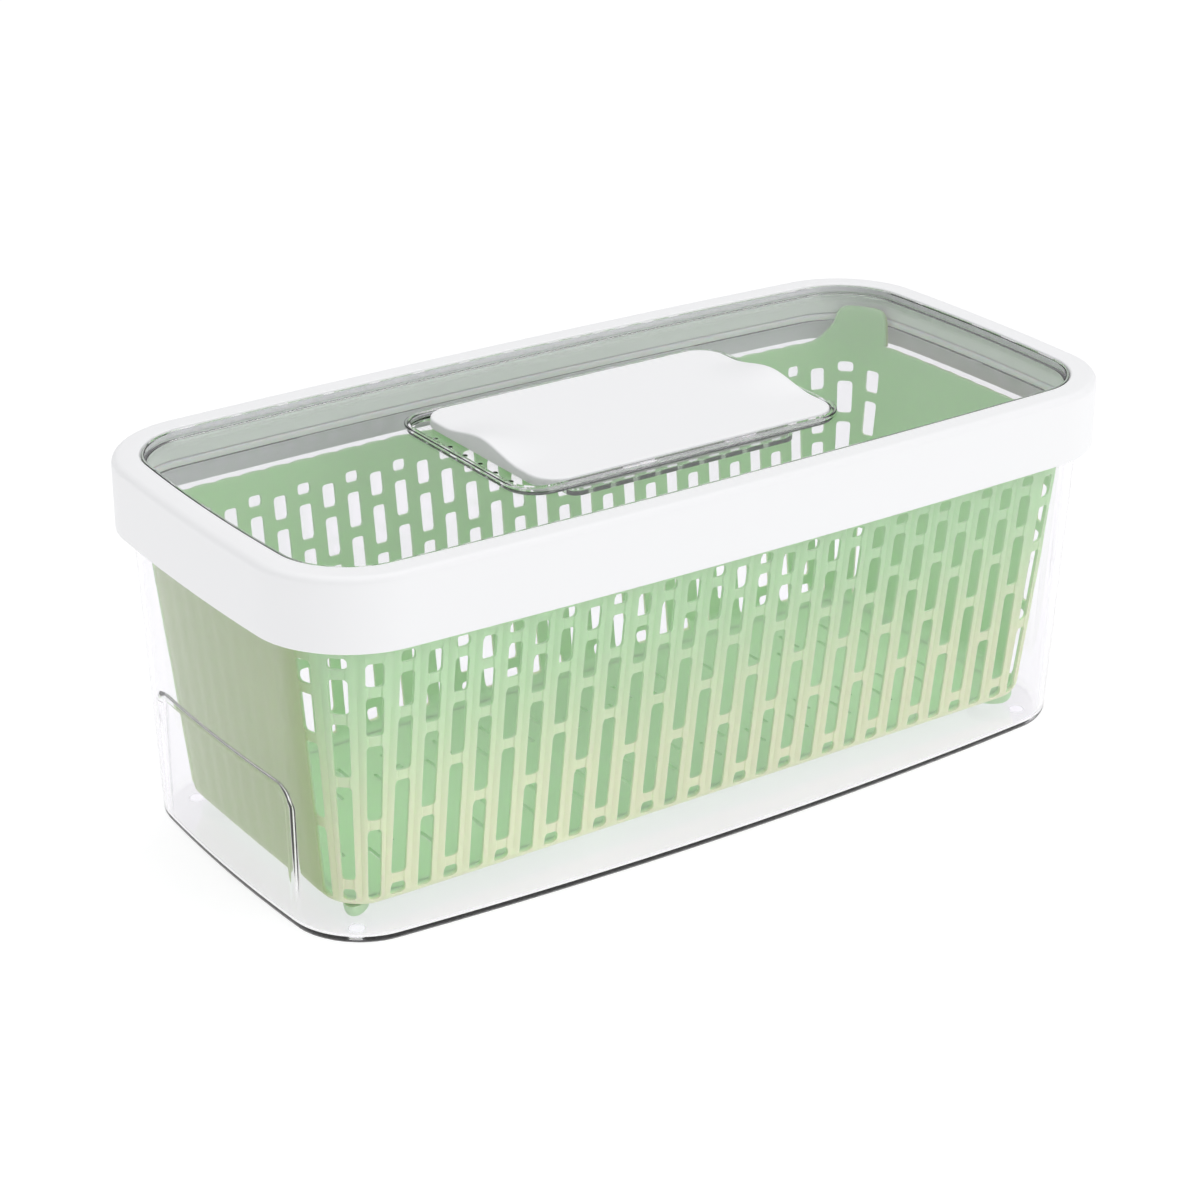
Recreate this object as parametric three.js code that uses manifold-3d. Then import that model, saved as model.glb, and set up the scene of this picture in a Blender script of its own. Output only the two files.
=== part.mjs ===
// A vented food keeper: a clear bin with a slotted basket standing in it, closed by a lid.
// The lid is a white rim around a clear window. A clear tray sits in the window, a white cover
// slides along the tray over six air holes, and a filter hangs below it in a clear holder.
// Millimetres. X runs along the box, Y across it, Z up, with the origin on the table at the centre.

import * as THREE from "three";
import { mergeVertices } from "three/addons/utils/BufferGeometryUtils.js";
import Module from "manifold-3d";

const wasm = await Module();
wasm.setup();

// ---- Driving dimensions -------------------------------------------------------------------

// Whole object, measured over the lid rim at its corners. Each side bows outwards from there.
const LENGTH = 355;
const WIDTH = 165;
const HEIGHT = 143;
const CORNER_RADIUS = 34;
const END_BOW = 3.6;
const SIDE_BOW = 4.3;

// Clearance between pieces that only touch, and between pieces that slide.
const TOUCH = 0.3;
const SLIDE = 0.4;

// Bin
const BIN_HEIGHT = HEIGHT - 18;
const BIN_WALL = 2.2;
const BIN_END_DRAFT = 4.8;
const BIN_SIDE_DRAFT = 6.2;
const BIN_BASE_RADIUS = 24;
const BIN_BASE_SIDE_BOW = 8.4;
const BIN_FILLET = 3.6;
const FOOT_HEIGHT = 0.8;
const FOOT_RADIUS = 3;
const FOOT_FROM_CORNER = 16;
const GRIP_WIDTH = 92;
const GRIP_TOP = 55;
const GRIP_BOTTOM = 8;
const GRIP_DEPTH = 1.5;
const GRIP_CORNER = 6;

// Lid rim
const RIM_DEPTH = 27;
const RIM_WIDTH = 9.9;
const RIM_THICKNESS = 3.2;
const RIM_FILLET = 2.8;
const RIM_INNER_CHAMFER = 0.8;
const SKIRT_WALL = 2.8;
const SKIRT_CLEARANCE = 2.6;
const GASKET_THICKNESS = 2.8;
const GASKET_OVERHANG = 0.3;

// Lid window
const WINDOW_THICKNESS = 2;
const WINDOW_EDGE_WALL = 1.2;
const WINDOW_EDGE_DROP = 0.5;
const WINDOW_EDGE_FILLET = 1.2;

// Vent: the tray in the window, the cover that slides in it and the filter below
const COVER_LENGTH = 131.4;
const COVER_WIDTH = 83.6;
const COVER_CORNER = 11;
const COVER_PROUD = 1.7;
const COVER_THICKNESS = 3.7;
const COVER_TRAVEL = 8;
const CREST_HEIGHT = 3.7;
const CREST_HALF_WIDTH = 25;
const CREST_RUN = 26;
const TRAY_WALL = 1.2;
const TRAY_LIP = 1.1;
const TRAY_LIP_THICKNESS = 0.8;
const TRAY_FLOOR = 1.2;
const AIR_HOLES = 6;
const AIR_HOLE_PITCH = 10;
const AIR_HOLE_RADIUS = 1;
const AIR_HOLE_FROM_END = 5;
const NOTCH_WIDTH = 1.4;
const HOOK_PLACE = 22.5;
const HOOK_LENGTH = 5.6;
const HOOK_HEIGHT = 1.1;
const HOOK_REACH = 1;
const PAD_LENGTH = 6;
const PAD_THICKNESS = 1.6;
const HOLDER_LENGTH = 100;
const HOLDER_WIDTH = 82;
const HOLDER_DEPTH = 4.4;
const HOLDER_WALL = 1.4;
const HOLDER_CORNER = 5;
const HOLDER_SLOTS = 9;
const HOLDER_SLOT_WIDTH = 3;
const FILTER_THICKNESS = 2.2;

// Basket
const BASKET_TOP = BIN_HEIGHT - 7;
const BASKET_BASE = 8;
const BASKET_WALL = 1.8;
const BASKET_GAP = 3.1;
const BASKET_END_DRAFT = 9.4;
const BASKET_SIDE_DRAFT = 11.5;
const BASKET_BASE_RADIUS = 16;
const BASKET_BASE_BOW = 0.6;
const BASKET_FILLET = 7;
const EAR_HEIGHT = 14.5;
const EAR_WIDTH = 22;
const EAR_END_FLARE = 1;
const EAR_SIDE_FLARE = 8;
const EAR_ANGLE = 30;
const EAR_CORNER = 6;
const BASKET_FOOT_LENGTH = 18;
const BASKET_FOOT_WIDTH = 9;
const COLUMNS_TO_CORNER = 13.567;
const SLOT_SHARE = 0.5333;
const SLOT_BRIDGE = 3.8;
const SLOT_BOTTOM = 12;
const SLOT_TOP = BASKET_TOP - 10;
const CORNER_COLUMNS = 3;
const FLOOR_SLIT_WIDTH = 1.8;

// Bridges across the slots of even and odd columns, which lie like bricks: shares of the way up.
const ODD_BRIDGES = [0.07, 0.506, 0.766, 0.948];
const EVEN_BRIDGES = [0.32, 0.672, 0.871];

// Floor slits of even and odd columns: shares of the way out from the middle of the floor.
const EVEN_SLITS = [[0.43, 0.68]];
const ODD_SLITS = [[0.25, 0.45]];

// Facets of a rounded outline
const CORNER_STEPS = 7;
const LONG_STEPS = 8;
const SHORT_STEPS = 4;

// ---- Derived heights and outlines ---------------------------------------------------------

const BIN_INSET = SKIRT_WALL + SKIRT_CLEARANCE;
const RIM_UNDERSIDE = HEIGHT - RIM_THICKNESS;
const WINDOW_TOP = RIM_UNDERSIDE - TOUCH;
const WINDOW_BOTTOM = WINDOW_TOP - WINDOW_THICKNESS;
const GASKET_BOTTOM = BIN_HEIGHT + TOUCH;
const RIB_BOTTOM = GASKET_BOTTOM + GASKET_THICKNESS + TOUCH;
const COVER_TOP = WINDOW_TOP + COVER_PROUD;
const COVER_BOTTOM = COVER_TOP - COVER_THICKNESS;
const TRAY_FLOOR_TOP = COVER_BOTTOM - SLIDE;
const TRAY_BOTTOM = TRAY_FLOOR_TOP - TRAY_FLOOR;
const LIP_BOTTOM = WINDOW_TOP + TOUCH;
const LIP_TOP = LIP_BOTTOM + TRAY_LIP_THICKNESS;
const POCKET_LENGTH = COVER_LENGTH + COVER_TRAVEL + 2 * SLIDE;
const POCKET_WIDTH = COVER_WIDTH + 2 * SLIDE;
const POCKET_CORNER = COVER_CORNER + SLIDE;
const COVER_X = COVER_TRAVEL / 2;
const HOLDER_TOP = TRAY_BOTTOM - TOUCH;
const HOLDER_BOTTOM = HOLDER_TOP - HOLDER_DEPTH;
const BASKET_FOOT_BOTTOM = FOOT_HEIGHT + BIN_WALL + TOUCH;

const RIM_OUTLINE = {
  a: LENGTH / 2,
  b: WIDTH / 2,
  r: CORNER_RADIUS,
  endBow: END_BOW,
  sideBow: SIDE_BOW,
};
const BIN_TOP_OUTLINE = inset(RIM_OUTLINE, BIN_INSET);
const BIN_BASE_OUTLINE = {
  a: BIN_TOP_OUTLINE.a - BIN_END_DRAFT,
  b: BIN_TOP_OUTLINE.b - BIN_SIDE_DRAFT,
  r: BIN_BASE_RADIUS,
  endBow: END_BOW,
  sideBow: BIN_BASE_SIDE_BOW,
};
const BASKET_TOP_OUTLINE = inset(BIN_TOP_OUTLINE, BIN_WALL + BASKET_GAP);
const BASKET_BASE_OUTLINE = {
  a: BASKET_TOP_OUTLINE.a - BASKET_END_DRAFT,
  b: BASKET_TOP_OUTLINE.b - BASKET_SIDE_DRAFT,
  r: BASKET_BASE_RADIUS,
  endBow: BASKET_BASE_BOW,
  sideBow: BASKET_BASE_BOW,
};

// Centre and radius of the basket's corner arcs, halfway up.
const BASKET_CORNER = {
  x: (BASKET_TOP_OUTLINE.a - BASKET_TOP_OUTLINE.r + BASKET_BASE_OUTLINE.a - BASKET_BASE_OUTLINE.r) / 2,
  y: (BASKET_TOP_OUTLINE.b - BASKET_TOP_OUTLINE.r + BASKET_BASE_OUTLINE.b - BASKET_BASE_OUTLINE.r) / 2,
  radius: (BASKET_TOP_OUTLINE.r + BASKET_BASE_OUTLINE.r) / 2,
};

// The number of columns is fixed, so a longer basket spaces them further apart.
const SLOT_PITCH = BASKET_CORNER.x / COLUMNS_TO_CORNER;
const SLOT_WIDTH = SLOT_SHARE * SLOT_PITCH;

// ---- Materials ----------------------------------------------------------------------------

const plastic = (color, roughness, opacity = 1) =>
  new THREE.MeshStandardMaterial({ color, roughness, metalness: 0, opacity, transparent: opacity < 1 });
const CLEAR = plastic(0xe4e2e8, 0.08, 0.35);
const WHITE = plastic(0xf6f6f6, 0.35);
const GREEN = plastic(0xaad5a3, 0.45, 0.9);
const SILICONE = plastic(0xe8e8e8, 0.6);
const FLEECE = plastic(0xf0f0ee, 0.95);

// ---- Outlines and lofts -------------------------------------------------------------------

// The same outline moved inwards by a distance all round.
function inset(outline, by) {
  return { ...outline, a: outline.a - by, b: outline.b - by, r: Math.max(outline.r - by, 1) };
}

// Points round an outline, counter-clockwise: corner arcs joined by sides that bow outwards.
function ring(outline, z) {
  const { a, b, r, endBow = 0, sideBow = 0 } = outline;
  const flat = [];
  const corners = [
    [a - r, b - r],
    [r - a, b - r],
    [r - a, r - b],
    [a - r, r - b],
  ];
  corners.forEach(([cx, cy], i) => {
    for (let k = 0; k <= CORNER_STEPS; k += 1) {
      const angle = ((i + k / CORNER_STEPS) * Math.PI) / 2;
      flat.push(new THREE.Vector2(cx + r * Math.cos(angle), cy + r * Math.sin(angle)));
    }
    const turn = ((i + 1) * Math.PI) / 2;
    const [nx, ny] = corners[(i + 1) % 4];
    const from = flat[flat.length - 1].clone();
    const to = new THREE.Vector2(nx + r * Math.cos(turn), ny + r * Math.sin(turn));
    const steps = i % 2 ? SHORT_STEPS : LONG_STEPS;
    for (let k = 1; k < steps; k += 1) flat.push(from.clone().lerp(to, k / steps));
  });
  return flat.map(({ x, y }) => {
    const bowX = (endBow * x * (1 - (y / b) ** 2)) / a;
    const bowY = (sideBow * y * (1 - (x / a) ** 2)) / b;
    return new THREE.Vector3(x + bowX, y + bowY, z);
  });
}

// A ring of a tapered wall: part of the way from the base outline to the top outline, and inset.
function taperedRing(base, top, baseZ, topZ, z, by) {
  const t = (z - baseZ) / (topZ - baseZ);
  const low = ring(inset(base, by), z);
  const high = ring(inset(top, by), z);
  return low.map((point, i) => point.lerp(high[i], t));
}

// A closed surface through a list of rings. Open at neither end: flat caps close the first and
// last rings, or, for a frame with a hole through it, the last ring joins back to the first.
function loft(rings, isFrame = false) {
  const count = rings[0].length;
  const positions = rings.flat().flatMap((p) => [p.x, p.y, p.z]);
  const index = [];
  const bands = isFrame ? rings.length : rings.length - 1;
  for (let j = 0; j < bands; j += 1) {
    const low = j * count;
    const high = ((j + 1) % rings.length) * count;
    for (let i = 0; i < count; i += 1) {
      const next = (i + 1) % count;
      index.push(low + i, low + next, high + next, low + i, high + next, high + i);
    }
  }
  if (!isFrame) {
    for (const [start, flip] of [[0, true], [(rings.length - 1) * count, false]]) {
      const centre = positions.length / 3;
      positions.push(0, 0, positions[3 * start + 2]);
      for (let i = 0; i < count; i += 1) {
        const pair = [start + i, start + ((i + 1) % count)];
        index.push(centre, ...(flip ? pair.reverse() : pair));
      }
    }
  }
  const geometry = new THREE.BufferGeometry();
  geometry.setAttribute("position", new THREE.Float32BufferAttribute(positions, 3));
  geometry.setIndex(index);
  return geometry;
}

// A plate with the given outline between two heights.
const plate = (outline, low, high) => loft([ring(outline, low), ring(outline, high)]);

// ---- Booleans -----------------------------------------------------------------------------

function solid(geometry) {
  const bare = geometry.clone();
  bare.deleteAttribute("normal");
  bare.deleteAttribute("uv");
  const merged = mergeVertices(bare, 1e-4);
  const vertProperties = new Float32Array(merged.attributes.position.array);
  const triVerts = new Uint32Array(merged.index.array);
  return new wasm.Manifold(new wasm.Mesh({ numProp: 3, vertProperties, triVerts }));
}

const union = (solids) => solids.reduce((all, one) => all.add(one));

function geometryOf(made) {
  const { vertProperties, triVerts } = made.getMesh();
  const geometry = new THREE.BufferGeometry();
  geometry.setAttribute("position", new THREE.Float32BufferAttribute(vertProperties, 3));
  geometry.setIndex(new THREE.BufferAttribute(triVerts, 1));
  geometry.computeVertexNormals();
  return geometry;
}

function mesh(name, shape, material) {
  const made = new THREE.Mesh(shape instanceof THREE.BufferGeometry ? shape : geometryOf(shape), material);
  made.name = name;
  return made;
}

const box = (x0, x1, y0, y1, z0, z1) =>
  solid(
    new THREE.BoxGeometry(x1 - x0, y1 - y0, z1 - z0).translate(
      (x0 + x1) / 2,
      (y0 + y1) / 2,
      (z0 + z1) / 2,
    ),
  );

// A disc or post standing on the Z axis.
const post = (x, y, low, high, radius, sides = 12) =>
  solid(
    new THREE.CylinderGeometry(radius, radius, high - low, sides)
      .rotateX(Math.PI / 2)
      .translate(x, y, (low + high) / 2),
  );

// ---- Bin ----------------------------------------------------------------------------------

const binRing = (z, by) =>
  taperedRing(BIN_BASE_OUTLINE, BIN_TOP_OUTLINE, FOOT_HEIGHT, BIN_HEIGHT, z, by);

// Rings of a rounded bottom edge, from the flat up to the wall.
function filletRings(ringAt, bottom, radius, by) {
  const steps = 3;
  return Array.from({ length: steps + 1 }, (_, k) => {
    const angle = (k / steps) * (Math.PI / 2);
    return ringAt(bottom + radius * (1 - Math.cos(angle)), by + radius * (1 - Math.sin(angle)));
  });
}

// The recessed finger grip in an end wall: an arch that is deepest at its top.
function gripPrism(end, grow) {
  const half = GRIP_WIDTH / 2 + grow;
  const top = GRIP_TOP + grow;
  const arch = new THREE.Shape();
  arch.moveTo(-half, GRIP_BOTTOM);
  arch.lineTo(half, GRIP_BOTTOM);
  arch.lineTo(half, top - GRIP_CORNER);
  arch.quadraticCurveTo(half, top, half - GRIP_CORNER, top);
  arch.lineTo(GRIP_CORNER - half, top);
  arch.quadraticCurveTo(-half, top, -half, top - GRIP_CORNER);
  arch.closePath();
  const reach = 30;
  const prism = new THREE.ExtrudeGeometry(arch, { depth: reach, bevelEnabled: false, curveSegments: 3 });
  prism.rotateX(Math.PI / 2).rotateZ(Math.PI / 2);
  prism.translate((end * LENGTH) / 2 - reach / 2, 0, 0);
  return solid(prism);
}

function gripCore(by) {
  const rings = [
    binRing(GRIP_BOTTOM - 1, by),
    binRing(GRIP_BOTTOM, by),
    binRing(GRIP_TOP + BIN_WALL, by + GRIP_DEPTH),
    binRing(GRIP_TOP + BIN_WALL + 1, by + GRIP_DEPTH),
  ];
  return solid(loft(rings));
}

function makeBin() {
  const outside = solid(
    loft([...filletRings(binRing, FOOT_HEIGHT, BIN_FILLET, 0), binRing(BIN_HEIGHT, 0)]),
  );
  const floorTop = FOOT_HEIGHT + BIN_WALL;
  const hollow = solid(
    loft([
      ...filletRings(binRing, floorTop, BIN_FILLET - BIN_WALL / 2, BIN_WALL),
      binRing(BIN_HEIGHT, BIN_WALL),
      binRing(BIN_HEIGHT + 1, BIN_WALL),
    ]),
  );
  let bin = outside.subtract(hollow);
  for (const end of [-1, 1]) {
    const backing = gripPrism(end, BIN_WALL).intersect(outside).subtract(gripCore(BIN_WALL));
    const recess = gripPrism(end, 0).subtract(gripCore(0));
    bin = bin.add(backing).subtract(recess);
  }
  const x = BIN_BASE_OUTLINE.a - FOOT_FROM_CORNER;
  const y = BIN_BASE_OUTLINE.b - FOOT_FROM_CORNER + FOOT_RADIUS;
  for (const [sx, sy] of [[1, 1], [-1, 1], [-1, -1], [1, -1]]) {
    bin = bin.add(post(sx * x, sy * y, 0, FOOT_HEIGHT + BIN_WALL / 2, FOOT_RADIUS));
  }
  return mesh("bin", bin, CLEAR);
}

// ---- Lid ----------------------------------------------------------------------------------

function makeLidRim() {
  const rib = [BIN_INSET, BIN_INSET + BIN_WALL];
  const shoulder = Math.SQRT1_2 * RIM_FILLET;
  const section = [
    [0, HEIGHT - RIM_DEPTH],
    [0, HEIGHT - RIM_FILLET],
    [RIM_FILLET - shoulder, HEIGHT - RIM_FILLET + shoulder],
    [RIM_FILLET, HEIGHT],
    [RIM_WIDTH - RIM_INNER_CHAMFER, HEIGHT],
    [RIM_WIDTH, HEIGHT - RIM_INNER_CHAMFER],
    [RIM_WIDTH, RIM_UNDERSIDE],
    [rib[1], RIM_UNDERSIDE],
    [rib[1], RIB_BOTTOM],
    [rib[0], RIB_BOTTOM],
    [rib[0], RIM_UNDERSIDE],
    [SKIRT_WALL, RIM_UNDERSIDE],
    [SKIRT_WALL, HEIGHT - RIM_DEPTH],
  ];
  const rings = section.map(([by, z]) => ring(inset(RIM_OUTLINE, by), z));
  return mesh("lid_rim", loft(rings, true), WHITE);
}

// A soft flat ring pressed between the rib of the lid rim and the top edge of the bin.
function makeLidGasket() {
  const outer = inset(RIM_OUTLINE, BIN_INSET - GASKET_OVERHANG);
  const inner = inset(RIM_OUTLINE, BIN_INSET + BIN_WALL + GASKET_OVERHANG);
  const top = GASKET_BOTTOM + GASKET_THICKNESS;
  const rings = [ring(outer, GASKET_BOTTOM), ring(outer, top), ring(inner, top), ring(inner, GASKET_BOTTOM)];
  return mesh("lid_gasket", loft(rings, true), SILICONE);
}

function makeLidWindow() {
  const flange = BIN_INSET + BIN_WALL + TOUCH;
  const edge = RIM_WIDTH + TOUCH;
  const edgeTop = HEIGHT - WINDOW_EDGE_DROP;
  const section = [
    [flange, WINDOW_BOTTOM],
    [flange, WINDOW_TOP],
    [edge, WINDOW_TOP],
    [edge, edgeTop],
    [edge + WINDOW_EDGE_WALL, edgeTop],
    [edge + WINDOW_EDGE_WALL, WINDOW_TOP + WINDOW_EDGE_FILLET],
    [edge + WINDOW_EDGE_WALL + WINDOW_EDGE_FILLET, WINDOW_TOP],
  ];
  const panel = solid(loft(section.map(([by, z]) => ring(inset(RIM_OUTLINE, by), z))));
  const opening = plate(pocket(TRAY_WALL + TOUCH), WINDOW_BOTTOM - 1, WINDOW_TOP + 1);
  return mesh("lid_window", panel.subtract(solid(opening)), CLEAR);
}

// ---- Vent ---------------------------------------------------------------------------------

// The pocket that the cover slides in, grown outwards by a distance.
function pocket(grow) {
  return { a: POCKET_LENGTH / 2 + grow, b: POCKET_WIDTH / 2 + grow, r: POCKET_CORNER + grow };
}

const airHoleY = (i) => (i - (AIR_HOLES - 1) / 2) * AIR_HOLE_PITCH;

// Slots in the tray's long walls, where the cover's hooks run.
function hookSlot(side, place) {
  const wall = (POCKET_WIDTH / 2) * side;
  const reach = (TRAY_WALL + 1) * side;
  const length = HOOK_LENGTH + COVER_TRAVEL + 2 * SLIDE;
  return box(
    place - length / 2,
    place + length / 2,
    Math.min(wall - side, wall + reach),
    Math.max(wall - side, wall + reach),
    COVER_BOTTOM + SLIDE / 2,
    COVER_BOTTOM + HOOK_HEIGHT + 2 * SLIDE,
  );
}

function makeVentTray() {
  const outside = solid(
    loft([
      ring(pocket(TRAY_WALL), TRAY_BOTTOM),
      ring(pocket(TRAY_WALL), LIP_BOTTOM),
      ring(pocket(TRAY_WALL + TRAY_LIP), LIP_BOTTOM),
      ring(pocket(TRAY_WALL + TRAY_LIP), LIP_TOP),
    ]),
  );
  let tray = outside.subtract(solid(plate(pocket(0), TRAY_FLOOR_TOP, LIP_TOP + 1)));
  const holeX = AIR_HOLE_FROM_END - POCKET_LENGTH / 2;
  for (let i = 0; i < AIR_HOLES; i += 1) {
    const y = airHoleY(i);
    tray = tray.subtract(post(holeX, y, TRAY_BOTTOM - 1, TRAY_FLOOR_TOP + 1, AIR_HOLE_RADIUS, 8));
    const wall = -POCKET_LENGTH / 2 - TRAY_WALL;
    const half = NOTCH_WIDTH / 2;
    tray = tray.subtract(
      box(wall - 1, wall + TRAY_WALL / 2, y - half, y + half, TRAY_BOTTOM - 1, TRAY_FLOOR_TOP),
    );
  }
  for (const side of [-1, 1]) {
    for (const place of [-HOOK_PLACE, HOOK_PLACE]) tray = tray.subtract(hookSlot(side, place));
  }
  return mesh("vent_tray", tray, CLEAR);
}

// Height of the cover's top: flat, with a crest that swells up at the middle of each end.
function coverTop(x, y) {
  const along = Math.max(0, 1 - (COVER_LENGTH / 2 - Math.abs(x)) / CREST_RUN);
  const across = Math.max(0, 1 - Math.abs(y) / CREST_HALF_WIDTH);
  const swell = (t) => t * t * (3 - 2 * t);
  return COVER_TOP + CREST_HEIGHT * swell(along) * swell(across);
}

function makeVentCover() {
  const half = { a: COVER_LENGTH / 2, b: COVER_WIDTH / 2, r: COVER_CORNER };
  const blank = solid(plate(half, COVER_BOTTOM, COVER_TOP + CREST_HEIGHT + 1));
  let cover = blank.intersect(solid(coverBody()));
  const padTop = TRAY_FLOOR_TOP + SLIDE / 2 + PAD_THICKNESS + TOUCH;
  cover = cover.subtract(shutterPad(COVER_BOTTOM - 1, padTop, TOUCH));
  for (const side of [-1, 1]) {
    for (const place of [-HOOK_PLACE, HOOK_PLACE]) {
      const y = (side * COVER_WIDTH) / 2;
      cover = cover.add(
        box(
          place - HOOK_LENGTH / 2,
          place + HOOK_LENGTH / 2,
          Math.min(y - side, y + side * HOOK_REACH),
          Math.max(y - side, y + side * HOOK_REACH),
          COVER_BOTTOM + SLIDE,
          COVER_BOTTOM + SLIDE + HOOK_HEIGHT,
        ),
      );
    }
  }
  return mesh("vent_cover", cover, WHITE);
}

// A block under the cover's top surface, as rows of points across the cover.
function coverBody() {
  const reach = 1;
  const xs = steps(-COVER_LENGTH / 2 - reach, -COVER_LENGTH / 2 + CREST_RUN, 5);
  const stations = [...xs, ...xs.map((x) => -x).reverse()];
  const ys = [
    -COVER_WIDTH / 2 - reach,
    ...steps(-CREST_HALF_WIDTH, CREST_HALF_WIDTH, 10),
    COVER_WIDTH / 2 + reach,
  ];
  const sections = stations.map((x) => [
    ...ys.map((y) => new THREE.Vector3(x, y, coverTop(x, y))),
    new THREE.Vector3(x, ys[ys.length - 1], COVER_BOTTOM),
    new THREE.Vector3(x, ys[0], COVER_BOTTOM),
  ]);
  return beam(sections);
}

const steps = (from, to, count) =>
  Array.from({ length: count + 1 }, (_, i) => from + ((to - from) * i) / count);

// A closed surface through equal sections along X, closed by a fan at each end.
function beam(sections) {
  const count = sections[0].length;
  const positions = sections.flat().flatMap((p) => [p.x, p.y, p.z]);
  const index = [];
  for (let j = 0; j < sections.length - 1; j += 1) {
    for (let i = 0; i < count; i += 1) {
      const next = (i + 1) % count;
      const [a, b] = [j * count, (j + 1) * count];
      index.push(a + i, b + i, b + next, a + i, b + next, a + next);
    }
  }
  const last = (sections.length - 1) * count;
  const bottom = count - 1;
  for (let i = 0; i < count - 2; i += 1) {
    index.push(bottom, i, i + 1);
    index.push(last + bottom, last + i + 1, last + i);
  }
  const geometry = new THREE.BufferGeometry();
  geometry.setAttribute("position", new THREE.Float32BufferAttribute(positions, 3));
  geometry.setIndex(index);
  return geometry;
}

// The soft pad let into the underside of the cover, which closes the air holes.
function shutterPad(low, high, grow) {
  const start = AIR_HOLE_FROM_END - PAD_LENGTH / 2 - SLIDE - COVER_LENGTH / 2;
  const half = airHoleY(AIR_HOLES - 1) + 3 * AIR_HOLE_RADIUS + grow;
  return box(start - grow, start + PAD_LENGTH + grow, -half, half, low, high);
}

function makeShutterPad() {
  const low = TRAY_FLOOR_TOP + SLIDE / 2;
  return mesh("shutter_pad", shutterPad(low, low + PAD_THICKNESS, 0), SILICONE);
}

function makeFilterHolder() {
  const outer = { a: HOLDER_LENGTH / 2, b: HOLDER_WIDTH / 2, r: HOLDER_CORNER };
  const inner = inset(outer, HOLDER_WALL);
  let holder = solid(plate(outer, HOLDER_BOTTOM, HOLDER_TOP));
  holder = holder.subtract(solid(plate(inner, HOLDER_BOTTOM + HOLDER_WALL, HOLDER_TOP + 1)));
  const pitch = (2 * inner.a) / (HOLDER_SLOTS + 1);
  for (let i = 1; i <= HOLDER_SLOTS; i += 1) {
    const x = -inner.a + i * pitch;
    const half = HOLDER_SLOT_WIDTH / 2;
    const y = inner.b - HOLDER_CORNER;
    holder = holder.subtract(box(x - half, x + half, -y, y, HOLDER_BOTTOM - 1, HOLDER_TOP));
  }
  return mesh("filter_holder", holder, CLEAR);
}

function makeCarbonFilter() {
  const outline = {
    a: HOLDER_LENGTH / 2 - HOLDER_WALL - SLIDE,
    b: HOLDER_WIDTH / 2 - HOLDER_WALL - SLIDE,
    r: HOLDER_CORNER - HOLDER_WALL,
  };
  const low = HOLDER_BOTTOM + HOLDER_WALL + TOUCH;
  return mesh("carbon_filter", plate(outline, low, low + FILTER_THICKNESS), FLEECE);
}

// ---- Basket -------------------------------------------------------------------------------

const basketRing = (z, by) =>
  taperedRing(BASKET_BASE_OUTLINE, BASKET_TOP_OUTLINE, BASKET_BASE, BASKET_TOP, z, by);

// A corner of the basket carried on upwards as an ear to lift it by.
function basketEar(turn) {
  const wall = solid(
    loft([basketRing(BASKET_TOP - EAR_HEIGHT / 2, 0), basketRing(BASKET_TOP + EAR_HEIGHT, 0)]),
  ).subtract(
    solid(
      loft([
        basketRing(BASKET_TOP - EAR_HEIGHT, BASKET_WALL),
        basketRing(BASKET_TOP + EAR_HEIGHT + 1, BASKET_WALL),
      ]),
    ),
  );
  const profile = new THREE.Shape();
  profile.moveTo(-EAR_WIDTH / 2 - EAR_END_FLARE, 0);
  profile.lineTo(EAR_WIDTH / 2 + EAR_SIDE_FLARE, 0);
  profile.lineTo(EAR_WIDTH / 2, EAR_HEIGHT - EAR_CORNER);
  profile.quadraticCurveTo(EAR_WIDTH / 2, EAR_HEIGHT, EAR_WIDTH / 2 - EAR_CORNER, EAR_HEIGHT);
  profile.lineTo(EAR_CORNER - EAR_WIDTH / 2, EAR_HEIGHT);
  profile.quadraticCurveTo(-EAR_WIDTH / 2, EAR_HEIGHT, -EAR_WIDTH / 2, EAR_HEIGHT - EAR_CORNER);
  profile.closePath();
  const centre = BASKET_TOP_OUTLINE;
  const prism = new THREE.ExtrudeGeometry(profile, { depth: 2 * centre.r, bevelEnabled: false, curveSegments: 3 });
  prism.rotateX(Math.PI / 2).rotateZ(Math.PI / 2 + (EAR_ANGLE * Math.PI) / 180);
  prism.translate(centre.a - centre.r, centre.b - centre.r, BASKET_TOP);
  const ear = wall.intersect(solid(prism));
  return turn ? ear.rotate([0, 0, 180]) : ear;
}

// A rounded keel under a corner, pointing out along the diagonal, that the basket stands on.
function basketFoot(sx, sy) {
  const height = BASKET_BASE - BASKET_FOOT_BOTTOM;
  const { a, b, r } = BASKET_BASE_OUTLINE;
  const ball = new THREE.SphereGeometry(1, 12, 8);
  ball.scale(BASKET_FOOT_LENGTH / 2, BASKET_FOOT_WIDTH / 2, 2 * height);
  ball.rotateZ(Math.atan2(sy, sx));
  const reach = r - BASKET_FOOT_LENGTH / 2 - BASKET_FILLET / 2;
  const x = sx * (a - r + Math.max(reach, 0) * Math.SQRT1_2);
  const y = sy * (b - r + Math.max(reach, 0) * Math.SQRT1_2);
  ball.translate(x, y, BASKET_BASE + BASKET_WALL / 2);
  const slab = box(-LENGTH, LENGTH, -WIDTH, WIDTH, BASKET_FOOT_BOTTOM, BASKET_BASE + BASKET_WALL / 2);
  return solid(ball).intersect(slab);
}

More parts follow.
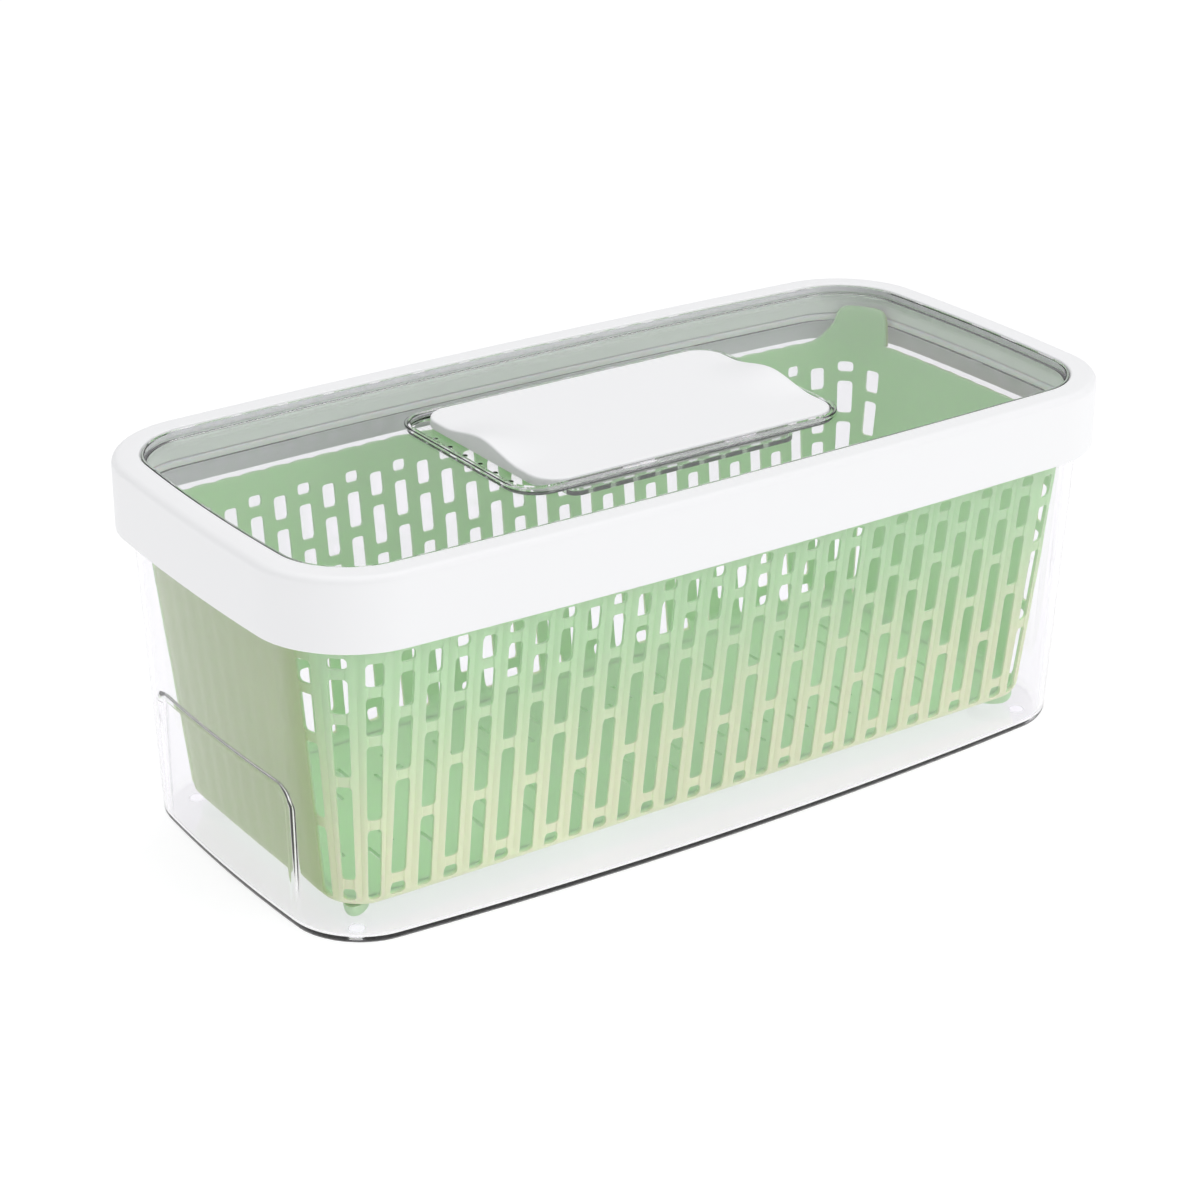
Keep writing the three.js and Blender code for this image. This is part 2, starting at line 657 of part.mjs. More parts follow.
// Heights of the slots in one column, between its bridges.
function slotRows(column) {
  const shares = column % 2 ? ODD_BRIDGES : EVEN_BRIDGES;
  const bridges = shares.map((share) => SLOT_BOTTOM + share * (SLOT_TOP - SLOT_BOTTOM));
  const lows = [SLOT_BOTTOM, ...bridges.map((z) => z + SLOT_BRIDGE / 2)];
  const highs = [...bridges.map((z) => z - SLOT_BRIDGE / 2), SLOT_TOP];
  return lows.map((low, i) => [low, highs[i]]);
}

// Column 0 is at the middle of the basket's length.
function basketSlots() {
  const cuts = [];
  const inside = BASKET_BASE_OUTLINE.b - BASKET_FILLET;
  const last = Math.floor(COLUMNS_TO_CORNER);
  for (let column = -last; column <= last; column += 1) {
    const x = column * SLOT_PITCH;
    const [x0, x1] = [x - SLOT_WIDTH / 2, x + SLOT_WIDTH / 2];
    for (const [low, high] of slotRows(column)) {
      cuts.push(box(x0, x1, inside, WIDTH, low, high), box(x0, x1, -WIDTH, -inside, low, high));
    }
    const [f0, f1] = [x - FLOOR_SLIT_WIDTH / 2, x + FLOOR_SLIT_WIDTH / 2];
    const floor = [BASKET_BASE - 1, BASKET_BASE + BASKET_WALL + 1];
    for (const [near, far] of column % 2 ? ODD_SLITS : EVEN_SLITS) {
      cuts.push(box(f0, f1, near * inside, far * inside, ...floor));
      cuts.push(box(f0, f1, -far * inside, -near * inside, ...floor));
    }
  }
  for (const [sx, sy] of [[1, 1], [-1, 1], [-1, -1], [1, -1]]) {
    for (let k = 1; k <= CORNER_COLUMNS; k += 1) cuts.push(...cornerSlots(sx, sy, last + k));
  }
  return union(cuts);
}

// A column that carries on round a corner, turned to face out of it.
function cornerSlots(sx, sy, column) {
  const { x, y, radius } = BASKET_CORNER;
  const turn = (column * SLOT_PITCH - x) / radius;
  const facing = (Math.atan2(sy * Math.cos(turn), sx * Math.sin(turn)) * 180) / Math.PI;
  const half = SLOT_WIDTH / 2;
  return slotRows(column).map(([low, high]) =>
    box(radius / 2, 2 * radius, -half, half, low, high)
      .rotate([0, 0, facing])
      .translate([sx * x, sy * y, 0]),
  );
}

function makeBasket() {
  const outside = solid(
    loft([...filletRings(basketRing, BASKET_BASE, BASKET_FILLET, 0), basketRing(BASKET_TOP, 0)]),
  );
  const hollow = solid(
    loft([
      ...filletRings(basketRing, BASKET_BASE + BASKET_WALL, BASKET_FILLET - BASKET_WALL / 2, BASKET_WALL),
      basketRing(BASKET_TOP, BASKET_WALL),
      basketRing(BASKET_TOP + 1, BASKET_WALL),
    ]),
  );
  let basket = outside.subtract(hollow).subtract(basketSlots());
  basket = basket.add(basketEar(false)).add(basketEar(true));
  for (const [sx, sy] of [[1, 1], [-1, 1], [-1, -1], [1, -1]]) basket = basket.add(basketFoot(sx, sy));
  return mesh("basket", basket, GREEN);
}

// ---- Assembly -----------------------------------------------------------------------------

const cover = new THREE.Group();
cover.add(makeVentCover(), makeShutterPad());
cover.position.x = COVER_X;

const lid = new THREE.Group();
lid.add(makeLidRim(), makeLidGasket(), makeLidWindow(), makeVentTray(), cover);
lid.add(makeFilterHolder(), makeCarbonFilter());

const keeper = new THREE.Group();
keeper.add(makeBin(), makeBasket(), lid);

export default keeper;
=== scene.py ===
# %% [markdown]
# # A vented food keeper in Blender
# A long clear bin holds a slotted green basket. Its lid is a white rim round a clear window, and in
# the window sits a clear tray with a white cover that slides over a row of air holes. This script
# builds a fine-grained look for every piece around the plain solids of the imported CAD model. The CAD
# says where each piece is and how it moves, so every size below starts from a CAD box.

# %% Load the frame
import math

import bpy
import numpy as np
from mathutils import Matrix, Vector


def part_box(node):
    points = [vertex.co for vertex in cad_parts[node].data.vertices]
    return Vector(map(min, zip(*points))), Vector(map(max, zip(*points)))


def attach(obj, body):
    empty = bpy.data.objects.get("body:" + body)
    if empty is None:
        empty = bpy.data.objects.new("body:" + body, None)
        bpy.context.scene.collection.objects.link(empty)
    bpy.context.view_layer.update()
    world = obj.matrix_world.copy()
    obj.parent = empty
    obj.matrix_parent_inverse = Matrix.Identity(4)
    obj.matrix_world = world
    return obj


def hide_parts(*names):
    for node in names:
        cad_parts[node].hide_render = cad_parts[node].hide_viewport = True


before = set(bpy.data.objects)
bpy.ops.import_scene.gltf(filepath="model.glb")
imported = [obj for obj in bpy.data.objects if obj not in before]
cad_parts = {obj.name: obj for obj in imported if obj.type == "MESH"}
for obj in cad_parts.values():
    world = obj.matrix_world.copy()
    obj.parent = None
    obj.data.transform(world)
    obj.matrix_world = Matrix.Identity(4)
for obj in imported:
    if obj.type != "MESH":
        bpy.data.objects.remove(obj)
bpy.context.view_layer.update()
MM = 0.001

# %% [markdown]
# ## Camera
# A product picture of a long box is taken with a long lens from a few steps away, so that the sides
# hardly converge. The camera stands off the near left corner and looks down by about 24 degrees.

# %% Camera
VIEW_AZIMUTH, VIEW_ELEVATION, VIEW_ROLL = map(math.radians, (-34.811, 24.203, 0.234))
VIEW_TARGET = Vector((-0.0649, -0.0797, 0.1118))
VIEW_DISTANCE = 1.0106
VIEW_LENS = 89.24


def place_camera():
    away = Vector((
        math.sin(VIEW_AZIMUTH) * math.cos(VIEW_ELEVATION),
        -math.cos(VIEW_AZIMUTH) * math.cos(VIEW_ELEVATION),
        math.sin(VIEW_ELEVATION),
    ))
    side = (-away).cross(Vector((0, 0, 1))).normalized()
    up = side.cross(-away)
    c, s = math.cos(VIEW_ROLL), math.sin(VIEW_ROLL)
    axes = Matrix((side * c + up * s, up * c - side * s, away)).transposed()
    data = bpy.data.cameras.new("product_camera")
    data.lens, data.sensor_width = VIEW_LENS, 36
    camera = bpy.data.objects.new("product_camera", data)
    camera.matrix_world = Matrix.Translation(VIEW_TARGET + away * VIEW_DISTANCE) @ axes.to_4x4()
    bpy.context.scene.collection.objects.link(camera)
    bpy.context.scene.camera = camera
    return camera


print("camera at", [round(v, 3) for v in place_camera().matrix_world.translation])

# %% [markdown]
# ## Outlines
# Seen from above, every big piece has the same outline: a rectangle with round corners whose four
# sides bow outwards a little. Points round that outline are worked out once, by a formula, and
# used for the bin, the rim, the window and the basket. More points than the CAD has make them smooth.

# %% Outline of a bowed, rounded rectangle
END_BOW, SIDE_BOW = 3.6, 4.3
# Across an end wall the points lie closer near the two upright edges of the finger recess.
GRIP_ZONE = np.concatenate([
    np.linspace(0, 0.18, 19), np.linspace(0.18, 0.82, 25)[1:], 1 - np.linspace(0.18, 0, 19)[1:],
])
PLAIN_ZONE = np.linspace(0, 1, 49)


def outline(a, b, r, end_bow=END_BOW, side_bow=SIDE_BOW, corner=20, along=96, across=PLAIN_ZONE):
    """Points once round the outline, counter-clockwise from the +X side, as rows of x, y in mm."""
    centres = np.array([(a - r, b - r), (r - a, b - r), (r - a, r - b), (a - r, r - b)])
    runs = []
    for i, centre in enumerate(centres):
        turn = (i + np.linspace(0, 1, corner + 1)) * math.pi / 2
        arc = centre + r * np.c_[np.cos(turn), np.sin(turn)]
        following = centres[(i + 1) % 4] + r * np.array([math.cos(turn[-1]), math.sin(turn[-1])])
        share = (across if i % 2 else np.linspace(0, 1, along + 1))[1:-1, None]
        runs += [arc, arc[-1] * (1 - share) + following * share]
    x, y = np.concatenate(runs).T
    return np.c_[x + end_bow * x * (1 - (y / b) ** 2) / a, y + side_bow * y * (1 - (x / a) ** 2) / b]


def at_height(points, z):
    return np.c_[points, np.full(len(points), z)]


def quarter(x, z, r, start, count=5):
    """Points (inset, height) of a quarter circle about (x, z), from the angle start, in degrees."""
    turn = np.radians(np.linspace(start, start + 90, count + 1))
    return list(zip(x + r * np.cos(turn), z + r * np.sin(turn)))


# %% [markdown]
# Most pieces here are a skin through rings: the outline at one inset and height, then at the next,
# and so on round a section. Modelling by hand with extrusions would give the same form, but rings
# from a formula keep every corner exact and can be made as fine as the piece needs.

# %% Meshes from arrays of points
def object_from(name, points, faces, crease=35):
    """A smooth-shaded object from points in mm, with edges sharper than crease degrees kept sharp."""
    data = bpy.data.meshes.new(name)
    data.from_pydata((np.asarray(points) * MM).tolist(), [], faces)
    data.validate()
    data.shade_smooth()
    data.set_sharp_from_angle(angle=math.radians(crease))
    piece = bpy.data.objects.new(name, data)
    bpy.context.scene.collection.objects.link(piece)
    weighted = piece.modifiers.new("flat_faces_stay_flat", "WEIGHTED_NORMAL")
    weighted.keep_sharp = True
    return piece


def skin(rings, closed=False, start=0):
    """Points and faces of a surface through equal rings. Closed joins the last ring to the first,
    as in a frame, and otherwise a flat cap closes each end."""
    n, count = len(rings[0]), len(rings)
    i = np.arange(n)
    faces = []
    for j in range(count if closed else count - 1):
        low, high = start + j * n, start + (j + 1) % count * n
        faces += np.c_[low + i, low + (i + 1) % n, high + (i + 1) % n, high + i].tolist()
    if not closed:
        faces.append((start + i[::-1]).tolist())
        faces.append((start + (count - 1) * n + i).tolist())
    return np.concatenate(rings), faces


def joined(parts):
    """Several (points, faces) shapes as one."""
    points, faces, start = [], [], 0
    for some_points, some_faces in parts:
        points.append(some_points)
        faces += [[start + k for k in face] for face in some_faces]
        start += len(some_points)
    return np.concatenate(points), faces


# %% [markdown]
# The CAD boxes give the lid rim's and the bin's extents. Outlines inside the rim are written as an
# inset from it in millimetres, so that neighbouring pieces can't drift apart.

# %% Sizes that every piece shares, from the CAD boxes
rim_low, rim_high = (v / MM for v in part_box("lid_rim"))
bin_low, bin_high = (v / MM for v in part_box("bin"))
RIM = dict(a=rim_high.x - END_BOW, b=rim_high.y - SIDE_BOW, r=34)
BIN_INSET = rim_high.x - bin_high.x
BIN_TOP, FOOT = bin_high.z, 0.8
print("rim half sizes, mm:", round(RIM["a"], 1), round(RIM["b"], 1), "bin set in by", round(BIN_INSET, 1))


def rim_outline(inset, **options):
    return outline(RIM["a"] - inset, RIM["b"] - inset, max(RIM["r"] - inset, 1), **options)

# %% [markdown]
# ## Shader groups
# Moulded plastic is never perfectly even. Melt flows leave long, faint waves, and the steel mould
# leaves a fine grain. Both effects are built once as node groups and placed in each plastic with its
# own numbers. They give only heights and masks, and the shader itself stays in each material.

# %% Node helpers
def add(tree, kind, inputs=(), **settings):
    node = tree.nodes.new(kind)
    for key, value in settings.items():
        setattr(node, key, value)
    for key, value in dict(inputs).items():
        if isinstance(value, bpy.types.NodeSocket):
            tree.links.new(value, node.inputs[key])
        else:
            node.inputs[key].default_value = value
    return node


def maths(tree, operation, first, second=0.0):
    return add(tree, "ShaderNodeMath", {0: first, 1: second}, operation=operation).outputs[0]


def mixed(tree, factor, first, second):
    node = add(tree, "ShaderNodeMix", data_type="RGBA")
    for key, value in ((0, factor), (6, first), (7, second)):
        if isinstance(value, bpy.types.NodeSocket):
            tree.links.new(value, node.inputs[key])
        else:
            node.inputs[key].default_value = value
    return node.outputs[2]


def group(name, inputs, outputs):
    tree = bpy.data.node_groups.new(name, "ShaderNodeTree")
    for label, default in inputs.items():
        socket = tree.interface.new_socket(label, in_out="INPUT", socket_type="NodeSocketFloat")
        socket.default_value = default
    for label in outputs:
        tree.interface.new_socket(label, in_out="OUTPUT", socket_type="NodeSocketFloat")
    return tree, tree.nodes.new("NodeGroupInput").outputs, tree.nodes.new("NodeGroupOutput").inputs


# %% [markdown]
# Melt flow: noise stretched along the box, and softer clouds beside it. The waves bend reflections
# a little and the clouds shift the colour a little.

# %% Group: melt flow, long faint waves
flow, flow_in, flow_out = group("melt_flow", {"Scale": 18.0, "Stretch": 0.25}, ["Wave", "Cloud"])
place = add(flow, "ShaderNodeTexCoord").outputs["Object"]
stretched = add(flow, "ShaderNodeVectorMath", {0: place}, operation="MULTIPLY")
combined = add(flow, "ShaderNodeCombineXYZ", {"X": flow_in["Stretch"], "Y": 1.0, "Z": 1.0})
flow.links.new(combined.outputs[0], stretched.inputs[1])
waves = add(flow, "ShaderNodeTexNoise", {
    "Vector": stretched.outputs[0], "Scale": flow_in["Scale"], "Detail": 2.0,
})
cloud_scale = maths(flow, "MULTIPLY", flow_in["Scale"], 0.6)
clouds = add(flow, "ShaderNodeTexNoise", {"Vector": place, "Scale": cloud_scale, "Detail": 3.0})
flow.links.new(waves.outputs["Fac"], flow_out["Wave"])
flow.links.new(clouds.outputs["Fac"], flow_out["Cloud"])

# %% [markdown]
# Mould grain: fine noise for a height, and a cell pattern for how the gloss varies from spot to spot.

# %% Group: mould grain, fine and even
grain, grain_in, grain_out = group("mould_grain", {"Size": 900.0}, ["Height", "Speckle"])
place = add(grain, "ShaderNodeTexCoord").outputs["Object"]
fine = add(grain, "ShaderNodeTexNoise", {
    "Vector": place, "Scale": grain_in["Size"], "Detail": 3.0, "Roughness": 0.6,
})
spot_scale = maths(grain, "MULTIPLY", grain_in["Size"], 0.35)
spots = add(grain, "ShaderNodeTexVoronoi", {"Vector": place, "Scale": spot_scale})
grain.links.new(fine.outputs["Fac"], grain_out["Height"])
grain.links.new(spots.outputs["Distance"], grain_out["Speckle"])


def placed(tree, made, **values):
    node = tree.nodes.new("ShaderNodeGroup")
    node.node_tree = made
    for label, value in values.items():
        node.inputs[label].default_value = value
    return node.outputs


def bump(tree, height, strength, distance):
    inputs = {"Height": height, "Strength": strength, "Distance": distance}
    return add(tree, "ShaderNodeBump", inputs).outputs[0]


def material(name):
    made = bpy.data.materials.new(name)
    made.use_nodes = True
    tree = made.node_tree
    tree.nodes.clear()
    shader = tree.nodes.new("ShaderNodeBsdfPrincipled")
    output = tree.nodes.new("ShaderNodeOutputMaterial")
    tree.links.new(shader.outputs[0], output.inputs[0])
    return made, tree, shader, output


def ranged(tree, value, low, high):
    return add(tree, "ShaderNodeMapRange", {"Value": value, "To Min": low, "To Max": high}).outputs[0]

# %% [markdown]
# ## Clear plastic
# The bin, window, tray and filter holder are clear polished plastic. Real glass-like transmission
# bends light at every wall, which draws the thin dark lines along edges and steps. Lamps would be
# blocked by it, so for shadow rays the surface is simply transparent, which keeps the inside bright.

# %% Clear plastic
def clear_plastic(name, tint, rough):
    made, tree, shader, output = material(name)
    flowing = placed(tree, flow, Scale=14.0, Stretch=0.3)
    grained = placed(tree, grain, Size=1200.0)
    pale = (*[min(1.0, c * 1.02) for c in tint], 1)
    tree.links.new(mixed(tree, flowing["Cloud"], (*tint, 1), pale), shader.inputs["Base Color"])
    tree.links.new(ranged(tree, grained["Speckle"], rough, rough * 1.8), shader.inputs["Roughness"])
    tree.links.new(bump(tree, flowing["Wave"], 0.02, 0.0006), shader.inputs["Normal"])
    shader.inputs["Transmission Weight"].default_value = 1.0
    shader.inputs["IOR"].default_value = 1.49
    rays = tree.nodes.new("ShaderNodeLightPath")
    through = add(tree, "ShaderNodeBsdfTransparent", {"Color": (*tint, 1)})
    choice = tree.nodes.new("ShaderNodeMixShader")
    tree.links.new(rays.outputs["Is Shadow Ray"], choice.inputs[0])
    tree.links.new(shader.outputs[0], choice.inputs[1])
    tree.links.new(through.outputs[0], choice.inputs[2])
    tree.links.new(choice.outputs[0], output.inputs[0])
    return made


clear = clear_plastic("clear_polished_plastic", (0.952, 0.944, 0.964), 0.004)
clear_edge = clear_plastic("clear_tray_plastic", (0.94, 0.93, 0.945), 0.008)

# %% [markdown]
# ## White plastic
# The lid rim and the vent cover are opaque white plastic with a soft gloss. The colour drifts by a
# hair with the melt flow, and the grain breaks up the highlights.

# %% White plastic
white, tree, shader, _ = material("white_soft_gloss_plastic")
grained = placed(tree, grain, Size=1500.0)
flowing = placed(tree, flow, Scale=9.0)
tint = mixed(tree, flowing["Cloud"], (0.93, 0.93, 0.935, 1), (0.955, 0.955, 0.96, 1))
tree.links.new(tint, shader.inputs["Base Color"])
tree.links.new(ranged(tree, grained["Speckle"], 0.34, 0.44), shader.inputs["Roughness"])
tree.links.new(bump(tree, grained["Height"], 0.12, 0.00008), shader.inputs["Normal"])

# %% [markdown]
# ## Green plastic
# The basket is milky green plastic. Light enters it and comes out again nearby, so it gets subsurface
# scattering. Light and shade are painted into its colour: the outer ribs are painted paler towards the
# bottom, by a gradient by height and a mask on the outer faces, and the end walls are painted in a
# darker olive shade of the same green. The masks are stored on the mesh.

# %% Green plastic
green, tree, shader, _ = material("milky_green_plastic")
flowing = placed(tree, flow, Scale=22.0, Stretch=1.0)
grained = placed(tree, grain, Size=1100.0)
place = add(tree, "ShaderNodeTexCoord").outputs["Object"]
height = add(tree, "ShaderNodeSeparateXYZ", {0: place}).outputs["Z"]
# Painted light: the outer faces are made paler towards the bottom, a little unevenly.
lower = add(
    tree, "ShaderNodeMapRange", {"Value": height, "From Min": 0.105, "From Max": 0.02},
    interpolation_type="SMOOTHSTEP",
).outputs[0]
outer = add(tree, "ShaderNodeAttribute", attribute_name="outer_face").outputs["Fac"]
uneven = ranged(tree, flowing["Cloud"], 0.85, 1.15)
painted_light_mask = maths(tree, "MULTIPLY", maths(tree, "MULTIPLY", lower, outer), uneven)
deep = mixed(tree, flowing["Cloud"], (0.50, 0.79, 0.43, 1), (0.56, 0.82, 0.48, 1))
sides_with_painted_light = mixed(tree, painted_light_mask, deep, (0.80, 0.88, 0.55, 1))
# Painted shade: the end walls get a darker olive copy of the green, as where they turn from the light.
end_wall_painted_shade = add(tree, "ShaderNodeAttribute", attribute_name="end_wall_painted_shade").outputs["Fac"]
ends = mixed(tree, flowing["Wave"], (0.38, 0.52, 0.19, 1), (0.45, 0.58, 0.25, 1))
tree.links.new(mixed(tree, end_wall_painted_shade, sides_with_painted_light, ends), shader.inputs["Base Color"])
tree.links.new(ranged(tree, grained["Speckle"], 0.38, 0.5), shader.inputs["Roughness"])
tree.links.new(bump(tree, grained["Height"], 0.15, 0.0001), shader.inputs["Normal"])
shader.inputs["Subsurface Weight"].default_value = 0.35
shader.inputs["Subsurface Radius"].default_value = (0.5, 0.9, 0.45)
shader.inputs["Subsurface Scale"].default_value = 0.004

# %% [markdown]
# ## Silicone and fleece
# The seal and the pad under the cover are milky silicone, duller than the plastics. The filter's
# skin is pressed fleece: distorted noise gives tangled fibres, with a little sheen at grazing angles.

# %% Silicone
silicone, tree, shader, _ = material("milky_silicone")
grained = placed(tree, grain, Size=700.0)
tint = mixed(tree, grained["Height"], (0.86, 0.86, 0.87, 1), (0.93, 0.93, 0.93, 1))
tree.links.new(tint, shader.inputs["Base Color"])
tree.links.new(ranged(tree, grained["Speckle"], 0.5, 0.65), shader.inputs["Roughness"])
tree.links.new(bump(tree, grained["Height"], 0.2, 0.0001), shader.inputs["Normal"])
shader.inputs["Subsurface Weight"].default_value = 0.2
shader.inputs["Subsurface Scale"].default_value = 0.002

# %% Fleece
fleece, tree, shader, _ = material("pressed_fleece")
grained = placed(tree, grain, Size=1600.0)
place = add(tree, "ShaderNodeTexCoord").outputs["Object"]
fibres = add(tree, "ShaderNodeTexNoise", {
    "Vector": place, "Scale": 260.0, "Detail": 6.0, "Distortion": 2.5,
}).outputs["Fac"]
tint = mixed(tree, fibres, (0.80, 0.80, 0.78, 1), (0.95, 0.95, 0.93, 1))
tree.links.new(tint, shader.inputs["Base Color"])
tree.links.new(ranged(tree, grained["Speckle"], 0.85, 1.0), shader.inputs["Roughness"])
tree.links.new(bump(tree, fibres, 0.6, 0.0004), shader.inputs["Normal"])
shader.inputs["Sheen Weight"].default_value = 0.3
print("materials:", len(bpy.data.materials))


# %% Dressing a piece
def dress(piece, finish, body, slot_name, *nodes):
    """Gives a piece its material and the body it moves with, and hides the CAD nodes it stands for."""
    piece.data.materials.clear()
    piece.data.materials.append(finish)
    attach(piece, body)
    if nodes:
        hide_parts(*nodes)
    print(piece.name, "has", len(piece.data.polygons), "faces")
    return piece

# %% [markdown]
# ## Cutting openings
# Slots and holes in a flat plate are easiest as a boolean: closed cutter shapes are subtracted from
# the plate by Blender's exact solver, and the result is read back as points and faces.

# %% Booleans on plain shapes
def cut(shape, cutters):
    def stand_in(points, faces):
        data = bpy.data.meshes.new("stand_in")
        data.from_pydata(np.asarray(points).tolist(), [], faces)
        made = bpy.data.objects.new("stand_in", data)
        bpy.context.scene.collection.objects.link(made)
        return made

    blank, tool = stand_in(*shape), stand_in(*joined(cutters))
    boolean = blank.modifiers.new("cut", "BOOLEAN")
    boolean.object, boolean.operation, boolean.solver = tool, "DIFFERENCE", "EXACT"
    ready = blank.evaluated_get(bpy.context.evaluated_depsgraph_get()).to_mesh()
    points = np.array([v.co[:] for v in ready.vertices])
    faces = [list(p.vertices) for p in ready.polygons]
    for made in (blank, tool):
        data = made.data
        bpy.data.objects.remove(made)
        bpy.data.meshes.remove(data)
    return points, faces


def rounded_bar(x0, x1, y0, y1, z0, z1, r):
    """An upright bar with rounded corners seen from above."""
    flat = outline((x1 - x0) / 2, (y1 - y0) / 2, r, 0, 0, corner=5, along=2, across=np.linspace(0, 1, 3))
    flat = flat + [(x0 + x1) / 2, (y0 + y1) / 2]
    return skin([at_height(flat, z0), at_height(flat, z1)])


# %% [markdown]
# ## Lid rim
# One white moulding: a flat rail round the top, a skirt that hangs outside the bin and a rib inside
# that presses the seal down. Its section is drawn once as (inset, height) pairs and swept round.

# %% Lid rim
top, skirt = rim_high.z, rim_low.z
under = top - 3.2
section = [(0.0, skirt + 0.5), (0.0, top - 2.8)]
section += quarter(2.8, top - 2.8, 2.8, 90)[::-1][1:]
section += [(9.1, top)] + [(9.1 + 0.8 * math.sin(t), top - 0.8 * (1 - math.cos(t))) for t in (0.5, 1.05)]
section += [(9.9, top - 0.8), (9.9, under)]
section += [(7.6, under), (7.6, 128.7), (7.3, 128.4), (5.7, 128.4), (5.4, 128.7)]  # the rib
section += [(5.4, under), (3.6, under), (2.8, under - 0.8), (2.8, skirt + 0.4), (2.4, skirt), (0.5, skirt)]
rim_shape = skin([at_height(rim_outline(i), z) for i, z in section], closed=True)
dress(object_from("white_rim", *rim_shape), white, "lid", "white", "lid_rim")

# %% [markdown]
# ## Seal
# A soft ring of milky silicone in the rim's groove. Its section is a flattened circle.

# %% Seal ring
seal_low, seal_high = (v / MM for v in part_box("lid_gasket"))
seal_mid, seal_half = (seal_low.z + seal_high.z) / 2, (seal_high.z - seal_low.z) / 2
turns = np.linspace(0, 2 * math.pi, 17)[:-1]
seal_section = [(6.5 - 1.4 * math.copysign(abs(math.cos(t)) ** 0.6, math.cos(t)),
                 seal_mid + seal_half * math.copysign(abs(math.sin(t)) ** 0.6, math.sin(t))) for t in turns]
seal_shape = skin([at_height(rim_outline(i), z) for i, z in seal_section], closed=True)
dress(object_from("seal_ring", *seal_shape), silicone, "lid", "silicone", "lid_gasket")

# %% [markdown]
# ## Window
# A clear sheet under the rim, with a low upstand just inside it and a rounded opening for the tray.

# %% Window
window_low, window_high = (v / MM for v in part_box("lid_window"))
sheet = window_low.z + 2
pocket_a, pocket_b, pocket_r = 70.1, 42.2, 11.4


def pocket_outline(grow):
    return outline(pocket_a + grow, pocket_b + grow, pocket_r + grow, 0, 0)


section = [(7.9, window_low.z), (7.9, sheet), (10.2, sheet)]
section += [(10.2, window_high.z - 0.3), (10.5, window_high.z)]
section += [(11.1, window_high.z), (11.4, window_high.z - 0.3), (11.4, sheet + 1.2)]
section += [(11.4 + 1.2 * (1 - math.cos(t)), sheet + 1.2 * (1 - math.sin(t))) for t in (0.4, 0.8, 1.2)]
section += [(12.6, sheet)]
window_rings = [at_height(rim_outline(i), z) for i, z in section]
window_rings += [at_height(pocket_outline(1.5), z) for z in (sheet, window_low.z)]
dress(object_from("clear_window", *skin(window_rings, closed=True)), clear, "lid", "clear", "lid_window")

# %% [markdown]
# ## Bin
# A deep clear box that narrows towards its base. Each end wall has a shallow arched recess for the
# fingers, deepest at its top edge, and the wall behind it steps inwards by the same amount.

# %% Bin
def lerped(base, high, low_z, high_z, z, inset, **options):
    """The outline at a height of a tapered wall, from its base outline to its top outline."""
    t = (z - low_z) / (high_z - low_z)
    rings = []
    for o in (base, high):
        size = o["a"] - inset, o["b"] - inset, max(o["r"] - inset, 1)
        rings.append(outline(*size, o["end_bow"], o["side_bow"], **options))
    return rings[0] * (1 - t) + rings[1] * t


def narrowed(shape, by, **bows):
    return dict(a=shape["a"] - by, b=shape["b"] - by, r=shape["r"] - by, **bows)


BIN_TOP_EDGE = narrowed(RIM, BIN_INSET, end_bow=END_BOW, side_bow=SIDE_BOW)
BIN_BASE = dict(a=BIN_TOP_EDGE["a"] - 4.8, b=BIN_TOP_EDGE["b"] - 6.2, r=24, end_bow=3.6, side_bow=8.4)


def soft_step(x, low, high):
    t = np.clip((x - low) / (high - low), 0, 1)
    return t * t * (3 - 2 * t)


# %% Finger recess
def grip_depth(y, z, grow):
    """How far the finger recess steps in: an arch with rounded top corners."""
    half, high, r = 46 + grow, 55 + grow, 6 + grow
    dx, dz = np.abs(y) - (half - r), z - (high - r)
    outside = np.hypot(np.maximum(dx, 0), np.maximum(dz, 0)) + np.minimum(np.maximum(dx, dz), 0) - r
    fade = max(0.0, min(1.0, (z - 8) / (high - 8)))
    return 1.5 * fade * soft_step(-outside, 0.0, 0.7)


def bin_ring(z, inset, grow=0.0):
    flat = lerped(BIN_BASE, BIN_TOP_EDGE, FOOT, BIN_TOP, z, inset, across=GRIP_ZONE)
    at_end = np.abs(flat[:, 0]) > BIN_BASE["a"] - 8
    flat[:, 0] -= np.where(at_end, np.sign(flat[:, 0]) * grip_depth(flat[:, 1], z, grow), 0)
    return at_height(flat, z)


def rounded_foot(bottom, radius, inset, steps=6):
    turn = np.linspace(0, math.pi / 2, steps + 1)
    return [(bottom + radius * (1 - math.cos(t)), inset + radius * (1 - math.sin(t))) for t in turn]


# %% Bin walls and feet
# Rows up the wall, closer where the recess ends: at 55 mm outside and 57.2 mm inside.
shared_rows, upper_rows = [12, 18, 25, 32, 38, 42, 45, 47], [75, 90, 105, 118]
outer_edge = [48, 49, 50, 51, 52, 53, 53.6, 54.1, 54.5, 54.8, 55.1, 55.6, 56.4, 58, 64]
inner_edge = [49, 50, 51, 52, 53, 54, 55, 55.8, 56.3, 56.7, 57, 57.3, 58, 60, 66]
heights = shared_rows + outer_edge + upper_rows
inner_heights = shared_rows + inner_edge + upper_rows
bin_rings = [bin_ring(z, i) for z, i in rounded_foot(FOOT, 3.6, 0)]
bin_rings += [bin_ring(z, 0) for z in heights + [BIN_TOP - 0.5]]
bin_rings += [bin_ring(BIN_TOP, 0.4), bin_ring(BIN_TOP, 1.8)]
bin_rings += [bin_ring(z, 2.2, 2.2) for z in [BIN_TOP - 0.5] + inner_heights[::-1]]
bin_rings += [bin_ring(z, i, 2.2) for z, i in rounded_foot(FOOT + 2.2, 2.5, 2.2)[::-1]]


def disc(x, y, z0, z1, r):
    turn = np.linspace(0, 2 * math.pi, 25)[:-1]
    rings = [np.c_[x + s * np.cos(turn), y + s * np.sin(turn), np.full(24, z)]
             for s, z in ((r - 0.3, z0), (r, z0 + 0.3), (r, z1))]
    return skin(rings)


